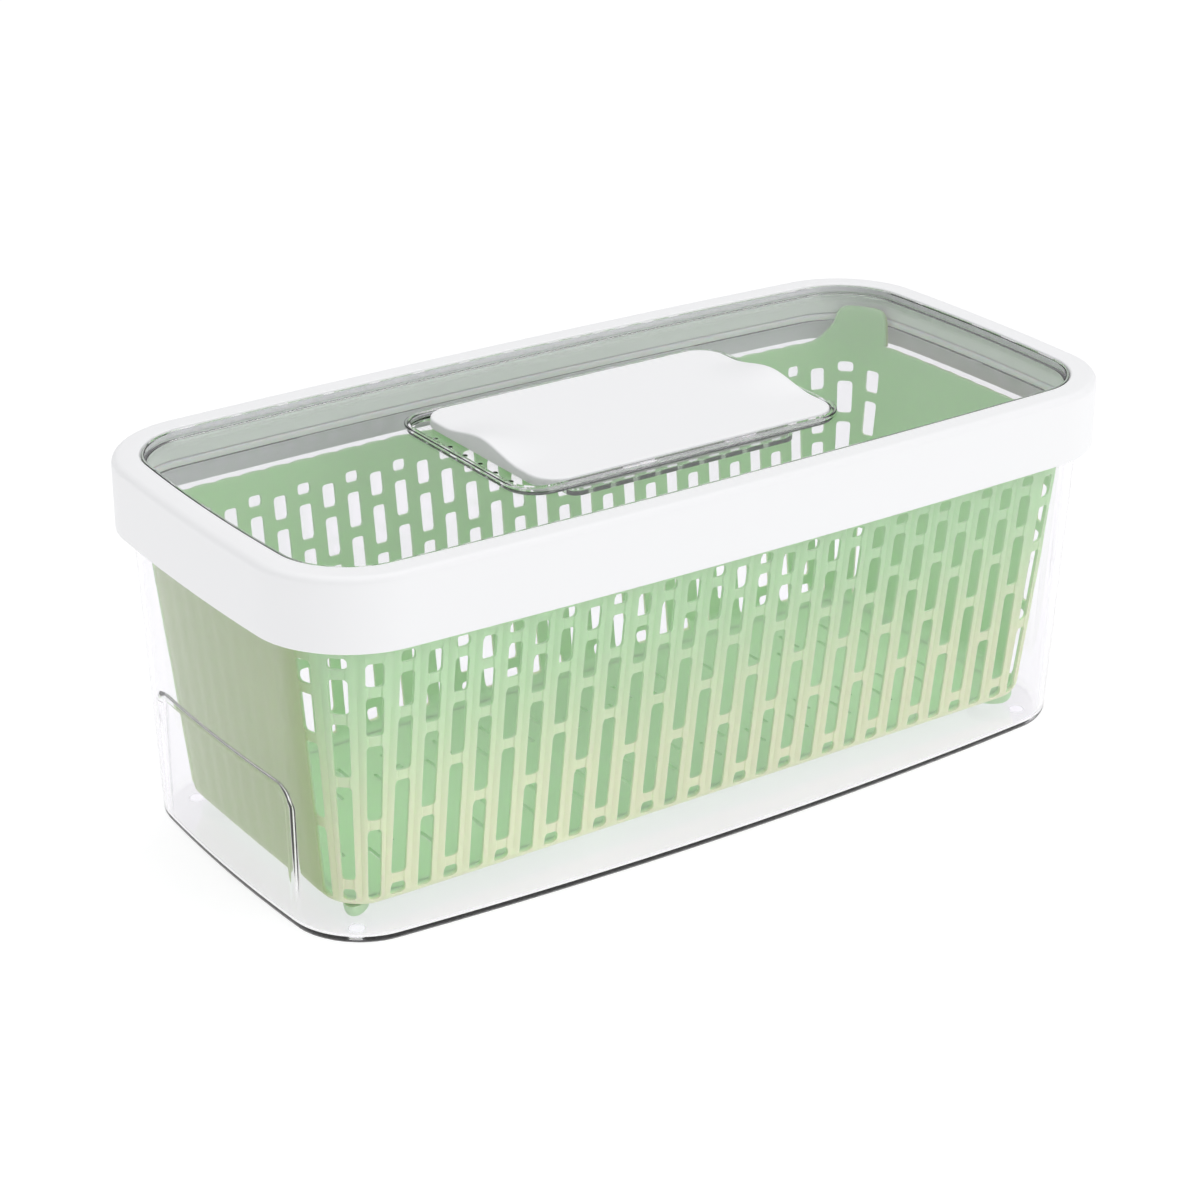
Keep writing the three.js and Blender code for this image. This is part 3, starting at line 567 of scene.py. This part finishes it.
feet = [disc(sx * 151.3, sy * 57.9, 0, FOOT + 0.02, 3) for sx in (-1, 1) for sy in (-1, 1)]
dress(object_from("clear_bin", *joined([skin(bin_rings)] + feet), crease=50), clear, "bin", "clear", "bin")

# %% [markdown]
# ## Vent tray and its cover
# The tray is a shallow clear pan that drops into the window's opening and hangs on its lip. A white
# cover lies in it and slides over six small air holes. The cover swells into a crest at the middle
# of each end, so that a fingertip can push it.

# %% Vent tray
tray_low, tray_high = (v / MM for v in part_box("vent_tray"))
floor_top = tray_low.z + 1.2
lip = tray_high.z - 0.8
pan = [at_height(pocket_outline(g), z) for g, z in (
    (0.9, tray_low.z), (1.2, tray_low.z + 0.3), (1.2, lip), (2.1, lip), (2.3, lip + 0.2),
    (2.3, tray_high.z - 0.3), (2.0, tray_high.z), (0.3, tray_high.z), (0.0, tray_high.z - 0.3),
    (0.0, floor_top + 0.5), (-0.5, floor_top))]
holes = []
for i in range(6):
    y = (i - 2.5) * 10
    holes.append(disc(-65.1, y, tray_low.z - 1, floor_top + 1, 1.0))
    holes.append(rounded_bar(-72.3, -70.7, y - 0.7, y + 0.7, tray_low.z - 1, floor_top, 0.2))
for side in (-1, 1):
    for place in (-22.5, 22.5):
        ends = sorted((side * 41.2, side * 44.4))
        holes.append(rounded_bar(place - 7.2, place + 7.2, *ends, 137.7, 139.4, 0.3))
tray = object_from("clear_vent_tray", *cut(skin(pan), holes))
dress(tray, clear_edge, "lid", "clear", "vent_tray")

# %% [markdown]
# The cover's top is flat but for the two crests, so its height is a formula of x and y, read on
# rings that shrink towards the middle. The outer few rings round its edge. Four small hooks on its
# long sides run in slots in the tray.

# %% Vent cover
cover_low, cover_high = (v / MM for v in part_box("vent_cover"))
cover_mid_x = (cover_low.x + cover_high.x) / 2
cover_top, crest = cover_low.z + 3.7, cover_high.z - cover_low.z - 3.7


def cover_surface(flat, edge):
    x, y = flat.T
    along = soft_step(1 - (65.7 - np.abs(x)) / 26, 0, 1)
    across = soft_step(1 - np.abs(y) / 25, 0, 1)
    return np.c_[x + cover_mid_x, y, cover_top + crest * along * across - edge]


def cover_outline(inset):
    size = 65.7 - inset, 41.8 - inset, max(11 - inset, 0.6)
    return outline(*size, 0, 0, along=64, across=np.linspace(0, 1, 65))


cover_rings = [at_height(cover_outline(i) + [cover_mid_x, 0], z) for i, z in (
    (1.6, cover_low.z), (0.3, cover_low.z), (0.0, cover_low.z + 0.3))]
cover_rings += [cover_surface(cover_outline(i), e) for i, e in (
    (0, 0.9), (0.08, 0.5), (0.3, 0.18), (0.7, 0.03), (1.2, 0), (2.5, 0), (4, 0), (6, 0), (9, 0), (12, 0),
    (15, 0),
    (18, 0), (21, 0), (24, 0), (27, 0))]
hook_low, hook_high = cover_low.z + 0.4, cover_low.z + 1.5
hooks = [rounded_bar(p - 2.8, p + 2.8, *sorted((s * 40.8, s * 42.8)), hook_low, hook_high, 0.4)
         for p in (cover_mid_x - 22.5, cover_mid_x + 22.5) for s in (-1, 1)]
cover = object_from("white_vent_cover", *joined([skin(cover_rings)] + hooks), crease=45)
dress(cover, white, "vent_cover", "white", "vent_cover")

# %% [markdown]
# Under the cover a soft silicone pad closes the air holes. It is a small bar with rounded edges.

# %% Shutter pad
pad_low, pad_high = (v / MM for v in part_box("shutter_pad"))
pad_middle = (pad_low + pad_high) / 2


def pad_outline(inset):
    half_x, half_y = (pad_high.x - pad_low.x) / 2, (pad_high.y - pad_low.y) / 2
    flat = outline(half_x - inset, half_y - inset, 1.5 - inset, 0, 0, corner=8)
    return flat + [pad_middle.x, pad_middle.y]


pad_rings = [at_height(pad_outline(i), z) for i, z in (
    (0.4, pad_low.z), (0.12, pad_low.z + 0.12), (0, pad_low.z + 0.4), (0, pad_high.z - 0.4),
    (0.12, pad_high.z - 0.12), (0.4, pad_high.z))]
dress(object_from("soft_shutter_pad", *skin(pad_rings)), silicone, "vent_cover", "silicone", "shutter_pad")

# %% [markdown]
# ## Filter
# The clear holder is a flat tray with nine slots. The filter in it is a thin pad of pressed fleece
# with charcoal inside. It bulges a little between the lines where its two skins are welded.

# %% Filter holder
holder_low, holder_high = (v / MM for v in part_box("filter_holder"))


def plain_outline(half_x, half_y, r):
    return outline(half_x, half_y, r, 0, 0, corner=10, along=32, across=np.linspace(0, 1, 33))


holder_rings = [at_height(plain_outline(50 - i, 41 - i, max(5 - i, 1)), z) for i, z in (
    (0.4, holder_low.z), (0, holder_low.z + 0.4), (0, holder_high.z - 0.3), (0.3, holder_high.z),
    (1.1, holder_high.z), (1.4, holder_high.z - 0.3), (1.4, holder_low.z + 1.9), (1.9, holder_low.z + 1.4))]
slots = [rounded_bar(x - 1.5, x + 1.5, -34.6, 34.6, holder_low.z - 1, holder_low.z + 3, 1.4)
         for x in (-48.6 + 9.72 * (i + 1) for i in range(9))]
holder = object_from("clear_filter_holder", *cut(skin(holder_rings), slots))
dress(holder, clear_edge, "filter", "clear", "filter_holder")

# %% [markdown]
# The pad is a grid for its top and the same grid mirrored for its underside. Its thickness tapers at
# the edge and dips along the weld lines. It hardly deforms, so a formula serves better than cloth.

# %% Fleece filter
filter_low, filter_high = (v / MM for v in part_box("carbon_filter"))
filter_mid, filter_half = (filter_low.z + filter_high.z) / 2, (filter_high.z - filter_low.z) / 2
fx, fy = np.meshgrid(np.linspace(-1, 1, 97), np.linspace(-1, 1, 79), indexing="ij")
round_off = 1 - 0.012 * (np.abs(fx) * np.abs(fy)) ** 12
px, py = fx * 48.2 * round_off, fy * 39.2 * round_off
edge_gap = np.minimum(48.2 - np.abs(px), 39.2 - np.abs(py))
weld_x, weld_y = 19.28, 19.6
quilting = np.abs(np.sin(math.pi * px / weld_x) * np.sin(math.pi * py / weld_y)) ** 0.3
thick = filter_half * (0.3 + 0.7 * soft_step(edge_gap, 0, 3.0)) * (0.86 + 0.14 * quilting)
index = np.arange(fx.size).reshape(fx.shape)
quads = np.stack([index[:-1, :-1], index[1:, :-1], index[1:, 1:], index[:-1, 1:]], -1).reshape(-1, 4)
border = np.concatenate([index[:-1, 0], index[-1, :-1], index[:0:-1, -1], index[0, :0:-1]])
under_layer = len(index.ravel())
pad_faces = quads.tolist() + (quads[:, ::-1] + under_layer).tolist()
following = np.roll(border, -1)
pad_faces += np.c_[border + under_layer, following + under_layer, following, border].tolist()
pad_points = np.concatenate(
    [np.c_[px.ravel(), py.ravel(), (filter_mid + s * thick).ravel()] for s in (1, -1)])
fleece_pad = object_from("fleece_filter", pad_points, pad_faces, crease=80)
dress(fleece_pad, fleece, "filter", "fleece", "carbon_filter")

# %% [markdown]
# ## Basket
# The basket is one thin green moulding. Its long walls are a row of lobes that bulge outwards, one
# for each column of slots, and neighbouring columns have their bridges at different heights, like
# bricks. A grid of stations round the wall and rows up it is laid out so that every slot edge falls
# on a grid line. Cells inside a slot are left out, and the open edges are closed through the wall.

# %% Basket stations round the wall
basket_low, basket_high = (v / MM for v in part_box("basket"))
bin_to_basket = 5.3
BASKET_EDGE = dict(BIN_TOP_EDGE, **{k: BIN_TOP_EDGE[k] - bin_to_basket for k in "abr"})
BASKET_FLOOR = dict(a=BASKET_EDGE["a"] - 9.4, b=BASKET_EDGE["b"] - 11.5, r=16, end_bow=0.6, side_bow=0.6)
LOW, EDGE, WALL, PITCH, HALF_SLOT = 8.0, BIN_TOP - 7, 1.8, 10.5, 2.8
OFFSETS = (-5.25, -4.5, -3.6, -2.8, -2.1, -1.1, 0, 1.1, 2.1, 2.8, 3.6, 4.5)
CORNER_TURNS = [math.radians(t) for t in (13.0, 44.0, 75.0)]


def stations():
    """(kind, side x, side y, place, offset from the nearest column, column number) round the wall."""
    def long_side(sy):
        return [("long", 0, sy, c * PITCH + o, o, abs(c)) for c in range(-13, 14) for o in OFFSETS]

    def corner(sx, sy):
        step = math.radians(31.0) / PITCH
        out = [("corner", sx, sy, t + o * step, o, 14 + k)
               for k, t in enumerate(CORNER_TURNS) for o in OFFSETS]
        return [s for s in out if s[3] > math.radians(-1.5)]

    def end(sx):
        return [("end", sx, 0, v, 9.0, 99) for v in np.linspace(-1, 1, 61)[1:-1]]

    def flipped(some):
        return some[::-1]

    front, back = long_side(-1), flipped(long_side(1))
    return (front + corner(1, -1) + end(1) + flipped(corner(1, 1)) + back
            + corner(-1, 1) + flipped(end(-1)) + flipped(corner(-1, -1)))


STATIONS = stations()
OFFSET = np.array([s[4] for s in STATIONS])
COLUMN = np.array([s[5] for s in STATIONS])
print("stations round the basket:", len(STATIONS))


def wall_line(shape, inset):
    """Where each station stands on an outline."""
    a, b, r = shape["a"] - inset, shape["b"] - inset, max(shape["r"] - inset, 1)
    line = np.empty((len(STATIONS), 2))
    for i, (kind, sx, sy, place, _, _) in enumerate(STATIONS):
        if kind == "long":
            line[i] = place, sy * b
        elif kind == "corner":
            turn = max(0.0, place)
            slide = r * min(0.0, place)
            line[i] = sx * (a - r + r * math.sin(turn) + slide), sy * (b - r + r * math.cos(turn))
        else:
            line[i] = sx * a, place * (b - r)
    x, y = line.T
    bow_x, bow_y = shape["end_bow"] * x, shape["side_bow"] * y
    return np.c_[x + bow_x * (1 - (y / b) ** 2) / a, y + bow_y * (1 - (x / a) ** 2) / b]


# %% [markdown]
# Rows are wanted at every slot end and a little inside it, where the slot's corners are rounded. A
# point on a slot's edge near a corner is moved onto a quarter circle, so the grid stays a grid.

# %% Basket rows and slots
BOTTOM_SLOT, TOP_EVEN, TOP_ODD = 12.0, EDGE - 11.3, EDGE - 8.7
BRIDGES = {0: (42.7, 76.5, 95.6), 1: (18.7, 60.6, 85.5, 103.0)}


def slot_spans(parity):
    lows = [BOTTOM_SLOT] + [z + 1.9 for z in BRIDGES[parity]]
    highs = [z - 1.9 for z in BRIDGES[parity]] + [(TOP_EVEN, TOP_ODD)[parity]]
    return list(zip(lows, highs))


ROUND = 1.5
rows = {8.0, 8.25, 8.9, 9.9, 11.0, 15.0, 25.0, 32.0, 50.0, 68.0, EDGE - 5, EDGE - 1.5, EDGE - 0.4, EDGE}
for parity in (0, 1):
    for span in slot_spans(parity):
        for end, inward in zip(span, (1, -1)):
            rows |= {end, end + inward * 0.5, end + inward * ROUND}
ROWS = []
for z in sorted(rows):
    fixed = [e for p in (0, 1) for span in slot_spans(p) for e in span]
    if ROWS and z - ROWS[-1] < 0.16 and z not in fixed:
        continue
    ROWS.append(z)
ROWS = np.array(ROWS)
print("rows up the basket:", len(ROWS))


def slot_state(z, offset, column):
    """Whether a point is on a slot's edge or inside it, and where a rounded corner moves it."""
    if column > 16 or abs(offset) > HALF_SLOT + 1e-6:
        return 0, offset, z
    for low, high in slot_spans(column % 2):
        if low - 1e-6 <= z <= high + 1e-6:
            across, up = HALF_SLOT - abs(offset), min(z - low, high - z)
            on_edge = across < 1e-6 or up < 1e-6
            if on_edge and across < ROUND and up < ROUND:
                share = 1 - up / ROUND if across < 1e-6 else 1 + across / ROUND
                turn = share * math.pi / 4
                new_across = ROUND * (1 - math.cos(turn))
                new_up = ROUND * (1 - math.sin(turn))
                sign = 1 if offset > 0 else -1
                new_z = low + new_up if z - low < high - z else high - new_up
                return 1, sign * (HALF_SLOT - new_across), new_z
            return (1 if on_edge else 2), offset, z
    return 0, offset, z


# %% [markdown]
# Two opposite corners of the wall carry on upwards as ears, to lift the basket by. One flank is
# nearly upright and the other runs down along the side as a ramp.

# %% Ears
def ear_height(x, y):
    """Height of the wall above its top edge: steep on the end side, a long ramp on the other."""
    if x * y <= 0:
        return 0.0
    dx = abs(x) - (BASKET_EDGE["a"] - BASKET_EDGE["r"])
    dy = abs(y) - (BASKET_EDGE["b"] - BASKET_EDGE["r"])
    w = -dx * 0.5 + dy * 0.866
    if dx < -12 or dy < -12 or not -12 < w < 19:
        return 0.0
    if w < -11:
        return 8.5 * (w + 12)
    if w > 11:
        return 8.5 * ((19 - w) / 8) ** 1.5
    return 14.5 - 6 * (1 - math.sqrt(min(1, (11 - abs(w)) / 6))) ** 2


top_line = wall_line(BASKET_EDGE, 0)
EAR = np.array([ear_height(x, y) for x, y in top_line])
print("tallest ear, mm:", round(float(EAR.max()), 2))


# %% [markdown]
# At each row the stations stand on the tapered outline. Outside they are pushed in by the lobes, by
# the recessed bridges and by a slight softening of each slot's edge, and inside the wall is smooth.
# Above the top edge a few more rows follow the ears.

# %% Basket wall surfaces
def wall_surface(z, inset):
    """Station lines at one height for a given inset from the outside."""
    t = (z - LOW) / (EDGE - LOW)
    return wall_line(BASKET_FLOOR, inset) * (1 - t) + wall_line(BASKET_EDGE, inset) * t


def fillet_inset(z, bottom, radius):
    rise = min(max(bottom + radius - z, 0), radius)
    return radius - math.sqrt(max(radius * radius - rise * rise, 0))


def tangents(line):
    step = np.roll(line, -1, 0) - np.roll(line, 1, 0)
    return step / np.maximum(np.linalg.norm(step, axis=1, keepdims=True), 1e-9)


# %% Lobes
# Lobes bulge between cusps in the middle of the ribs. End walls carry finer, fainter flutes.
near = np.clip(np.abs(OFFSET) / 5.25, 0, 1)
end_wall = COLUMN == 99
end_place = np.array([s[3] for s in STATIONS])
LOBE = np.where(end_wall, 0.35 * (0.5 - 0.5 * np.cos(end_place * 9 * math.pi)), 1.15 * near ** 2.2)


print("deepest cusp between lobes, mm:", round(float(LOBE.max()), 2))

# %% Wall rows and ear rows
# Whether the stations run in the direction in which their offsets grow.
SENSE = np.array([1 if (s[0] == "long" and s[2] < 0) or (s[0] == "corner" and s[1] * s[2] < 0) else -1
                  for s in STATIONS])
EAR_SHARES = (0.12, 0.3, 0.5, 0.68, 0.84, 0.95, 1.0)


def outside_depth(z, state):
    """How far the outside of a row is pushed in at each station."""
    depth = LOBE * float(soft_step(z, 9, 17))
    depth += np.where(state == 1, 0.22, 0)
    bridge = (np.abs(OFFSET) < HALF_SLOT - 0.1) & (state != 2) & (COLUMN < 17)
    depth += np.where(bridge & (z < TOP_ODD + 0.5) & (z > BOTTOM_SLOT), 0.55, 0)
    return depth + 0.35 * (z > EDGE - 0.1)


def wall_row(z, inside):
    """The points of one row on the outside or the inside of the wall, and their slot states."""
    state, offset, height = np.array([slot_state(z, o, c) for o, c in zip(OFFSET, COLUMN)]).T
    bottom, radius, thick = (LOW + WALL, 6.1, WALL) if inside else (LOW, 7.0, 0.0)
    level = z
    if inside and z < BOTTOM_SLOT:  # the inner rows start higher and meet the outer ones at the slots
        level = BOTTOM_SLOT - (BOTTOM_SLOT - z) * (BOTTOM_SLOT - bottom) / (BOTTOM_SLOT - LOW)
    line = wall_surface(level, 0.0)
    along = tangents(line)
    outward = np.c_[along[:, 1], -along[:, 0]]
    depth = np.full(len(line), fillet_inset(level, bottom, radius) + thick)
    if not inside:
        depth += outside_depth(z, state)
    moved = line - outward * depth[:, None] + along * ((offset - OFFSET) * SENSE)[:, None]
    return np.c_[moved, level + height - z], state.astype(int)


def ear_row(share, inside):
    """A row part of the way up the ears."""
    level = EDGE + EAR * share
    t = ((level - LOW) / (EDGE - LOW))[:, None]
    line = wall_line(BASKET_FLOOR, 0) * (1 - t) + wall_line(BASKET_EDGE, 0) * t
    along = tangents(line)
    outward = np.c_[along[:, 1], -along[:, 0]]
    rounding = 0.45 if share == 1.0 else 0.0
    depth = np.full(len(line), WALL - rounding) if inside else rounding + LOBE * (1 - min(1, share * 3))
    return np.c_[line - outward * depth[:, None], level]


def basket_wall():
    found = [wall_row(z, False) for z in ROWS]
    outer = [points for points, _ in found] + [ear_row(share, False) for share in EAR_SHARES]
    inner = [wall_row(z, True)[0] for z in ROWS] + [ear_row(share, True) for share in EAR_SHARES]
    states = [state for _, state in found] + [np.where(EAR > 0.02, 0, 3)] * len(EAR_SHARES)
    return np.array(outer), np.array(inner), np.array(states)


outer_wall, inner_wall, wall_states = basket_wall()
levels, around = wall_states.shape
print("wall grid:", levels, "by", around)


# %% [markdown]
# The two surfaces become one closed skin: outer cells, inner cells facing the other way, and a strip
# of wall wherever a kept cell meets an opening, the bottom or the top edge.

# %% Basket skin
def wall_skin(outer, inner, states):
    levels, around = states.shape
    number = np.arange(levels * around).reshape(levels, around)
    kept = np.ones((levels - 1, around), bool)
    after = np.roll(states, -1, 1)
    middle_offset = (OFFSET + np.roll(OFFSET, -1)) / 2
    for j in range(levels - 1):
        corners = np.stack([states[j], states[j + 1], after[j], after[j + 1]])
        in_slot = (corners > 0) & (corners < 3)
        inside = np.zeros(around, bool)
        for i in np.nonzero(in_slot.all(0))[0]:
            z = (ROWS[j] + ROWS[j + 1]) / 2 if j + 1 < len(ROWS) else 1e9
            spans = slot_spans(COLUMN[i] % 2)
            inside[i] = abs(middle_offset[i]) < HALF_SLOT and any(l < z < h for l, h in spans)
        kept[j] = ~inside
        if j + 1 >= len(ROWS):
            kept[j] = (states[-1] != 3) & (after[-1] != 3)
    faces, other = [], levels * around
    for j, i in np.argwhere(kept):
        k = (i + 1) % around
        a, b, c, d = number[j, i], number[j, k], number[j + 1, k], number[j + 1, i]
        faces.append([a, b, c, d])
        faces.append([a + other, d + other, c + other, b + other])
        left = kept[j, i - 1]
        right = kept[j, k]
        below = kept[j - 1, i] if j > 0 else False
        above = kept[j + 1, i] if j + 1 < levels - 1 else False
        for closed, p, q in ((below, a, b), (right, b, c), (above, c, d), (left, d, a)):
            if not closed:
                faces.append([q, p, p + other, q + other])
    points = np.concatenate([outer.reshape(-1, 3), inner.reshape(-1, 3)])
    return points, [[int(v) for v in f] for f in faces]


wall_points, wall_faces = wall_skin(outer_wall, inner_wall, wall_states)
print("basket wall faces:", len(wall_faces))


# %% [markdown]
# The floor is a flat plate with narrow slits, cut by a boolean. Under each corner stands a rounded
# keel, a stack of shrinking ellipses that points out along the diagonal.

# %% Basket floor and keels
floor_edge = outline(BASKET_FLOOR["a"] - 6.6, BASKET_FLOOR["b"] - 6.6, 9.4, 0.6, 0.6)
slits = []
for column in range(-13, 14):
    near, far = (13.3, 24.0) if column % 2 else (22.9, 36.2)
    for side in (-1, 1):
        ends = sorted((side * near, side * far))
        x = column * PITCH
        slits.append(rounded_bar(x - 0.9, x + 0.9, *ends, LOW - 1, LOW + WALL + 1, 0.85))
floor_shape = cut(skin([at_height(floor_edge, LOW), at_height(floor_edge, LOW + WALL)]), slits)


def keel(sx, sy):
    """A rounded foot under a corner, pointing out along the diagonal."""
    centre = np.array([sx * (BASKET_FLOOR["a"] - 12.0), sy * (BASKET_FLOOR["b"] - 12.0)])
    long_way = np.array([sx, sy]) / math.sqrt(2)
    short_way = np.array([-long_way[1], long_way[0]])
    turn = np.linspace(0, 2 * math.pi, 33)[:-1]
    rings = []
    for z, s in ((basket_low.z, 0.62), (basket_low.z + 0.35, 0.74), (4.4, 0.86), (5.6, 0.95),
                 (7.0, 1.0), (LOW + 0.6, 1.0)):
        flat = centre + 8.6 * s * np.outer(np.cos(turn), long_way)
        flat = flat + 4.5 * s * np.outer(np.sin(turn), short_way)
        rings.append(at_height(flat, z))
    return skin(rings)


keels = [keel(sx, sy) for sx in (-1, 1) for sy in (-1, 1)]
basket_shape = joined([(wall_points, wall_faces), floor_shape] + keels)
basket = object_from("green_basket", *basket_shape, crease=40)
# This outer-face mask places the painted paler light low on the ribs.
mask = np.zeros(len(basket.data.vertices))
mask[:outer_wall.size // 3] = 1.0
basket.data.attributes.new("outer_face", "FLOAT", "POINT").data.foreach_set("value", mask)
# This mask places the painted olive shade on the end walls, fading in round the corners.
at_end = np.zeros(len(mask))
turned = np.array([1.0 if s[0] == "end" else float(soft_step(s[3], 0.9, 1.55)) if s[0] == "corner" else 0.0
                   for s in STATIONS])
at_end[:outer_wall.size // 3] = np.tile(turned, levels)
basket.data.attributes.new("end_wall_painted_shade", "FLOAT", "POINT").data.foreach_set("value", at_end)
dress(basket, green, "basket", "green", "basket")

# %% [markdown]
# ## Studio
# A white paper floor. It gives off a little light of its own, which keeps it white up to the box and
# leaves hardly any shadow, as when a product is cut out on white.

# %% Floor
floor_mesh = bpy.data.meshes.new("studio_floor")
floor_mesh.from_pydata([(-15, -15, 0), (15, -15, 0), (15, 15, 0), (-15, 15, 0)], [], [(0, 1, 2, 3)])
studio_floor = bpy.data.objects.new("studio_floor", floor_mesh)
bpy.context.scene.collection.objects.link(studio_floor)
paper, tree, shader, _ = material("white_paper_sweep")
cloudy = placed(tree, flow, Scale=3.0)
tint = mixed(tree, cloudy["Cloud"], (0.39, 0.39, 0.39, 1), (0.41, 0.41, 0.41, 1))
tree.links.new(tint, shader.inputs["Base Color"])
tree.links.new(ranged(tree, cloudy["Wave"], 0.8, 0.95), shader.inputs["Roughness"])
shine = mixed(tree, cloudy["Wave"], (0.99, 0.99, 1, 1), (1, 1, 1, 1))
tree.links.new(shine, shader.inputs["Emission Color"])
shader.inputs["Emission Strength"].default_value = 0.74
shader.inputs["Specular IOR Level"].default_value = 0.1
floor_mesh.materials.append(paper)

# %% [markdown]
# Soft, wide lights: one broad light overhead, a key from the front right and a pale even sky. The
# left end of the box turns away from the key, so it is a little greyer. Clear walls in front of
# clear walls need many bounces, or their edges turn black.

# %% Lights
scene = bpy.context.scene
scene.view_settings.view_transform = "Standard"
scene.cycles.transparent_max_bounces = 24
scene.cycles.transmission_bounces = 20
scene.cycles.max_bounces = 24


def soft_light(name, place, target, size, power):
    lamp = bpy.data.lights.new(name, "AREA")
    lamp.shape, lamp.size, lamp.size_y, lamp.energy = "RECTANGLE", size[0], size[1], power
    made = bpy.data.objects.new(name, lamp)
    aim = (Vector(target) - Vector(place)).to_track_quat("-Z", "Y")
    made.matrix_world = Matrix.Translation(place) @ aim.to_matrix().to_4x4()
    scene.collection.objects.link(made)
    return made


soft_light("overhead", (0.0, 0.1, 1.9), (0, 0, 0), (2.6, 2.2), 17)
soft_light("key", (1.0, -1.9, 1.2), (0, 0, 0.06), (1.6, 1.2), 9.5)

# %% Sky
world = bpy.data.worlds.new("pale_studio")
world.use_nodes = True
sky = world.node_tree
sky.nodes["Background"].inputs["Color"].default_value = (0.98, 0.985, 1.0, 1)
sky.nodes["Background"].inputs["Strength"].default_value = 0.57
# Seen directly, the sky is as white as the sweep, so that the sweep has no visible edge.
white_sky = add(sky, "ShaderNodeBackground", {"Color": (1, 1, 1, 1)})
choice = sky.nodes.new("ShaderNodeMixShader")
sky.links.new(sky.nodes.new("ShaderNodeLightPath").outputs["Is Camera Ray"], choice.inputs[0])
sky.links.new(sky.nodes["Background"].outputs[0], choice.inputs[1])
sky.links.new(white_sky.outputs[0], choice.inputs[2])
sky.links.new(choice.outputs[0], sky.nodes["World Output"].inputs["Surface"])
scene.world = world
